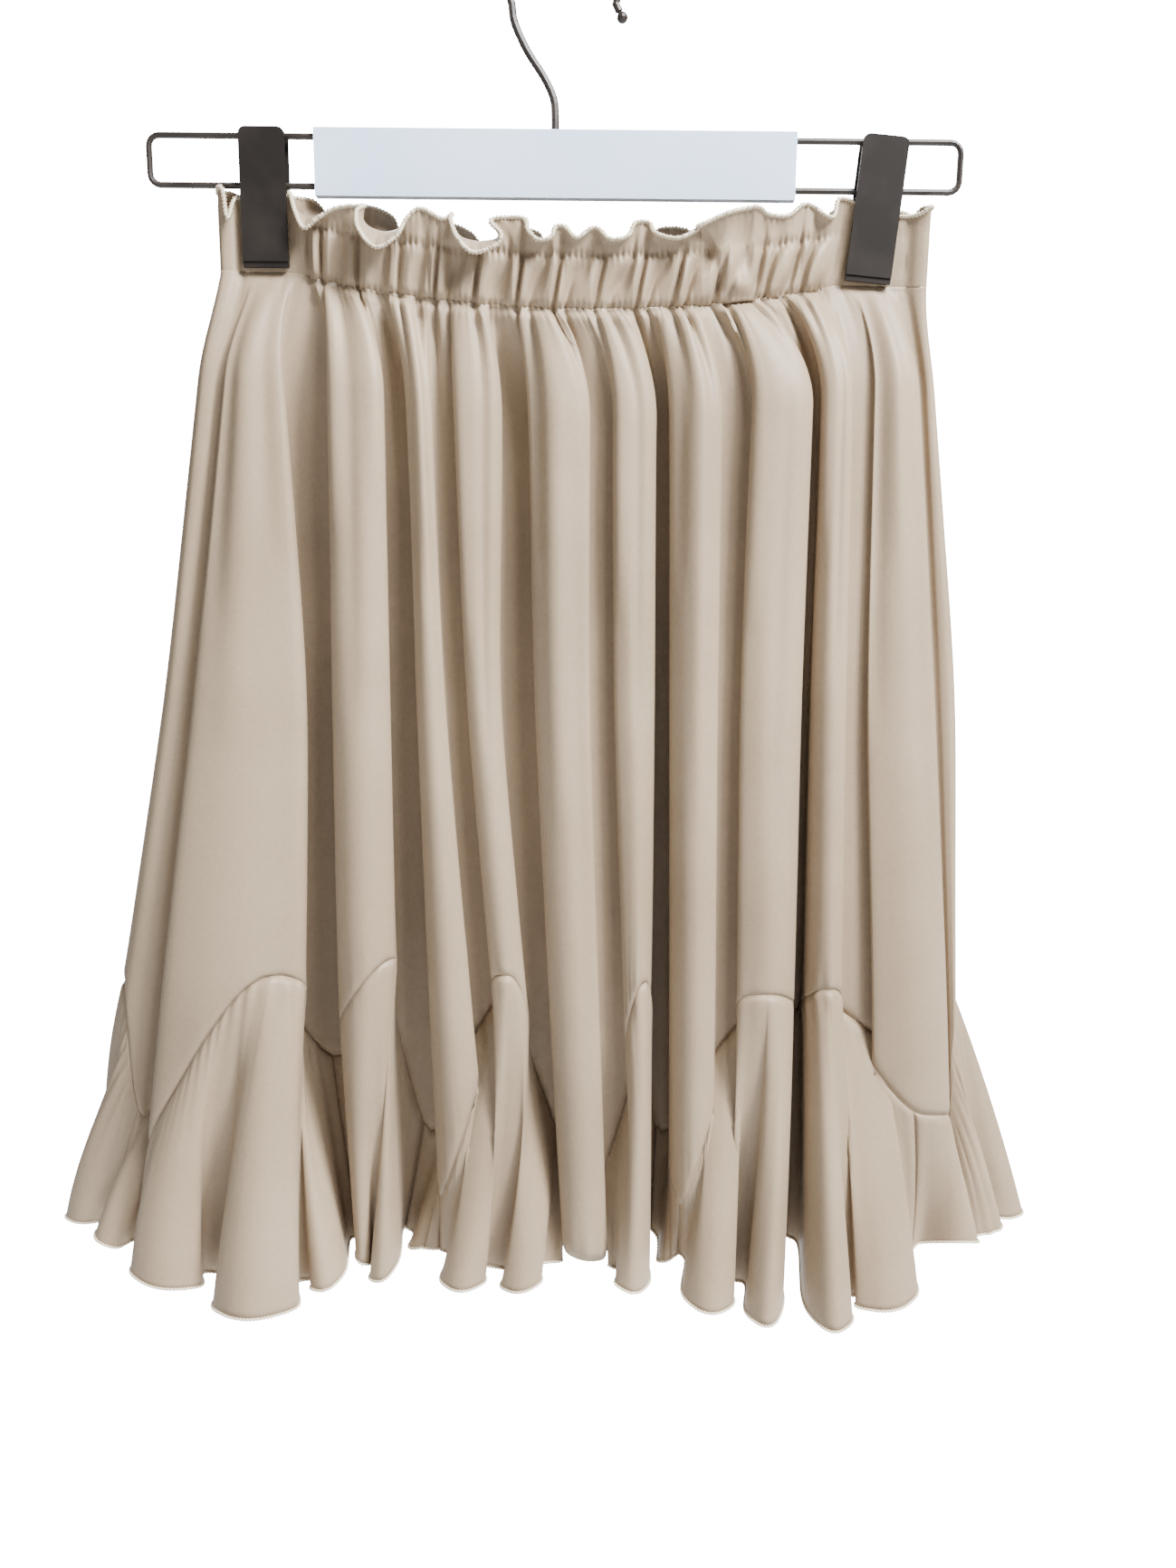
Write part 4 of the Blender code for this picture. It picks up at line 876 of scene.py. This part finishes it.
BACK_FRILL = (
    Frill(0, 0, 11.5, 0), Frill(1.8, 1, 12.5, 2), Frill(3.4, 0, 8, 1), Frill(5, 0, 10, 0.3),
    Frill(10.5, 0, 10.5, 0.5), Frill(12, 0.5, 6, 5), Frill(13.6, 0, -2, 8), Frill(15.4, 1, 3, 7),
    Frill(16.6, -1, 12, 2), Frill(18.4, 0, 13.5, 0), Frill(19.8, 1.5, 11, 2),
    Frill(20.8, -2.5, 4, 7), Frill(22.5, 0, -3, 8.5), Frill(24.3, 1.5, 5, 6),
    Frill(25.2, -1.5, 12.5, 1), Frill(27.6, 0, 14, 0), Frill(29, 0, 9, 4), Frill(30.6, 0, 5, 6),
    Frill(32.1, 0.5, 10.5, 2), Frill(34, 1.5, 12, 1), Frill(35, -2.5, 7, 6), Frill(36.8, 0, 0, 8),
    Frill(38.7, 1.5, 7, 5), Frill(39.7, -0.5, 13, 1), Frill(41.8, 0, 13.5, 0),
    Frill(43, 0, 8, 4.5), Frill(44.8, 0, 5, 6.5), Frill(46.4, 0, 11, 2), Frill(48.2, 1, 13, 0.5),
    Frill(49.3, -3, 8, 5.5), Frill(51, 0, -1, 8), Frill(52.8, 1.5, 4, 7), Frill(54, -1, 12, 2),
    Frill(56.2, 0, 14, 0), Frill(58, 0, 9, 4), Frill(59.6, 0, 6, 5.5), Frill(61, 0, 11, 1),
    Frill(63, 0, 10, 0.5), Frill(67.5, 0, 9.5, 0.3), Frill(69.6, 0.6, 12.5, 2.5),
    Frill(71, 0, 11, 1), Frill(72, 0, 11.5, 0),
)
# The one place where the front casing was never caught down: a broad fold hangs over it
LOOSE_TOP = (58.8, 66.5)
LOOSE_FOOT = (61.5, 66.0)
LOOSE_OUT = 3.2
LOOSE_WAVE = 1.4
CASING_SLANT = 2.1
CASING_SHARE = 0.62


def loose_fold(name, columns, share):
    """How much of the broad loose fold shows, share running up the casing and frill."""
    if name != "front":
        return np.zeros_like(columns)
    left = mix(LOOSE_FOOT[0], LOOSE_TOP[0], share)
    right = mix(LOOSE_FOOT[1], LOOSE_TOP[1], share)
    return ramp((columns - left) / 0.9) * ramp((right - columns) / 1.6)


for name, panel in panels.items():
    side = panel.side
    columns = np.arange(panel.last * 8 + 1) / 8
    across = panel.read(panel.waist[:, 0], columns)
    out = panel.read(panel.waist[:, 1], columns)
    base = panel.read(panel.seam, columns) + 0.15
    flat = flat_in_clip(panel, columns)
    strength = np.interp(columns, GATHER_PLACES, gather_depth[name])
    table = FRONT_FRILL if name == "front" else BACK_FRILL
    curve = smooth_through([tuple(row) for row in table], 12)
    shift, rise, reach = (np.interp(columns, curve[:, 0], curve[:, field]) for field in (1, 2, 3))
    rows = []
    for share in np.linspace(0, 1, CASING_ROWS + 1):
        belly = math.sin(math.pi * share) ** 0.7
        slant = -CASING_SLANT * share * ramp(columns / 60)
        pucker = gather_profile(columns, slant) * strength
        fine = 0.5 * np.cos(FINE_GATHER * columns + 3 * share) * (1 - belly) ** 2
        pinch = math.exp(-(share * CASING / 2) ** 2) + 0.5 * math.exp(-((1 - share) * CASING / 2) ** 2)
        loose = loose_fold(name, columns, CASING_SHARE * share)
        relief = flat * (CASING_DEPTH * (pucker - 0.6) * (0.4 + 0.6 * belly) + fine) * (1 - 0.6 * loose)
        relief = relief - SEAM_PINCH * pinch * flat * (1 - loose)
        wave = LOOSE_OUT + LOOSE_WAVE * np.sin(1.6 * columns + 3.2 * share)
        relief = relief + loose * wave * ramp(3 * share)
        rows.append(np.stack([across, out + relief, base + CASING * share], -1))
    for share in np.linspace(0, 1, FRILL_ROWS + 1)[1:]:
        bend = share ** 2
        height = 2 * share * (1 - share) * FRILL_SPRING + bend * rise
        slant = -CASING_SLANT * ramp(columns / 60)
        pucker = gather_profile(columns, slant) * strength * (1 - share) ** 1.3
        fine = 0.5 * np.cos(FINE_GATHER * columns + 3) * (1 - share) ** 6
        loose = loose_fold(name, columns, mix(CASING_SHARE, 1, share))
        relief = flat * (CASING_DEPTH * 0.4 * (pucker - 0.6 * (1 - share) ** 1.3) + fine) * (1 - loose)
        relief = relief - 0.5 * SEAM_PINCH * flat * math.exp(-(share * 14 / 2) ** 2) * (1 - loose)
        wave = LOOSE_OUT + LOOSE_WAVE * np.sin(1.6 * columns + 3.2)
        relief = relief + loose * wave * (1 - 0.5 * share)
        crimp = 0.3 * share ** 3 * np.sin(2 * np.pi * columns / 0.83) * flat
        rows.append(np.stack([across + shift * bend, out + reach * bend + relief + crimp,
                              base + CASING + height], -1))
    rows = np.array(rows)[::-1]
    x, y = world(side, rows[..., 0], rows[..., 1])
    points = np.stack([x, y, rows[..., 2]], -1)
    shell = add_shell(f"waistband_{name}_cloth", points, crepe)
    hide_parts(f"waistband_{name}")
    roll = add_overlock(f"frill_thread_{name}", points[0], FRILL_THREAD_RADIUS)
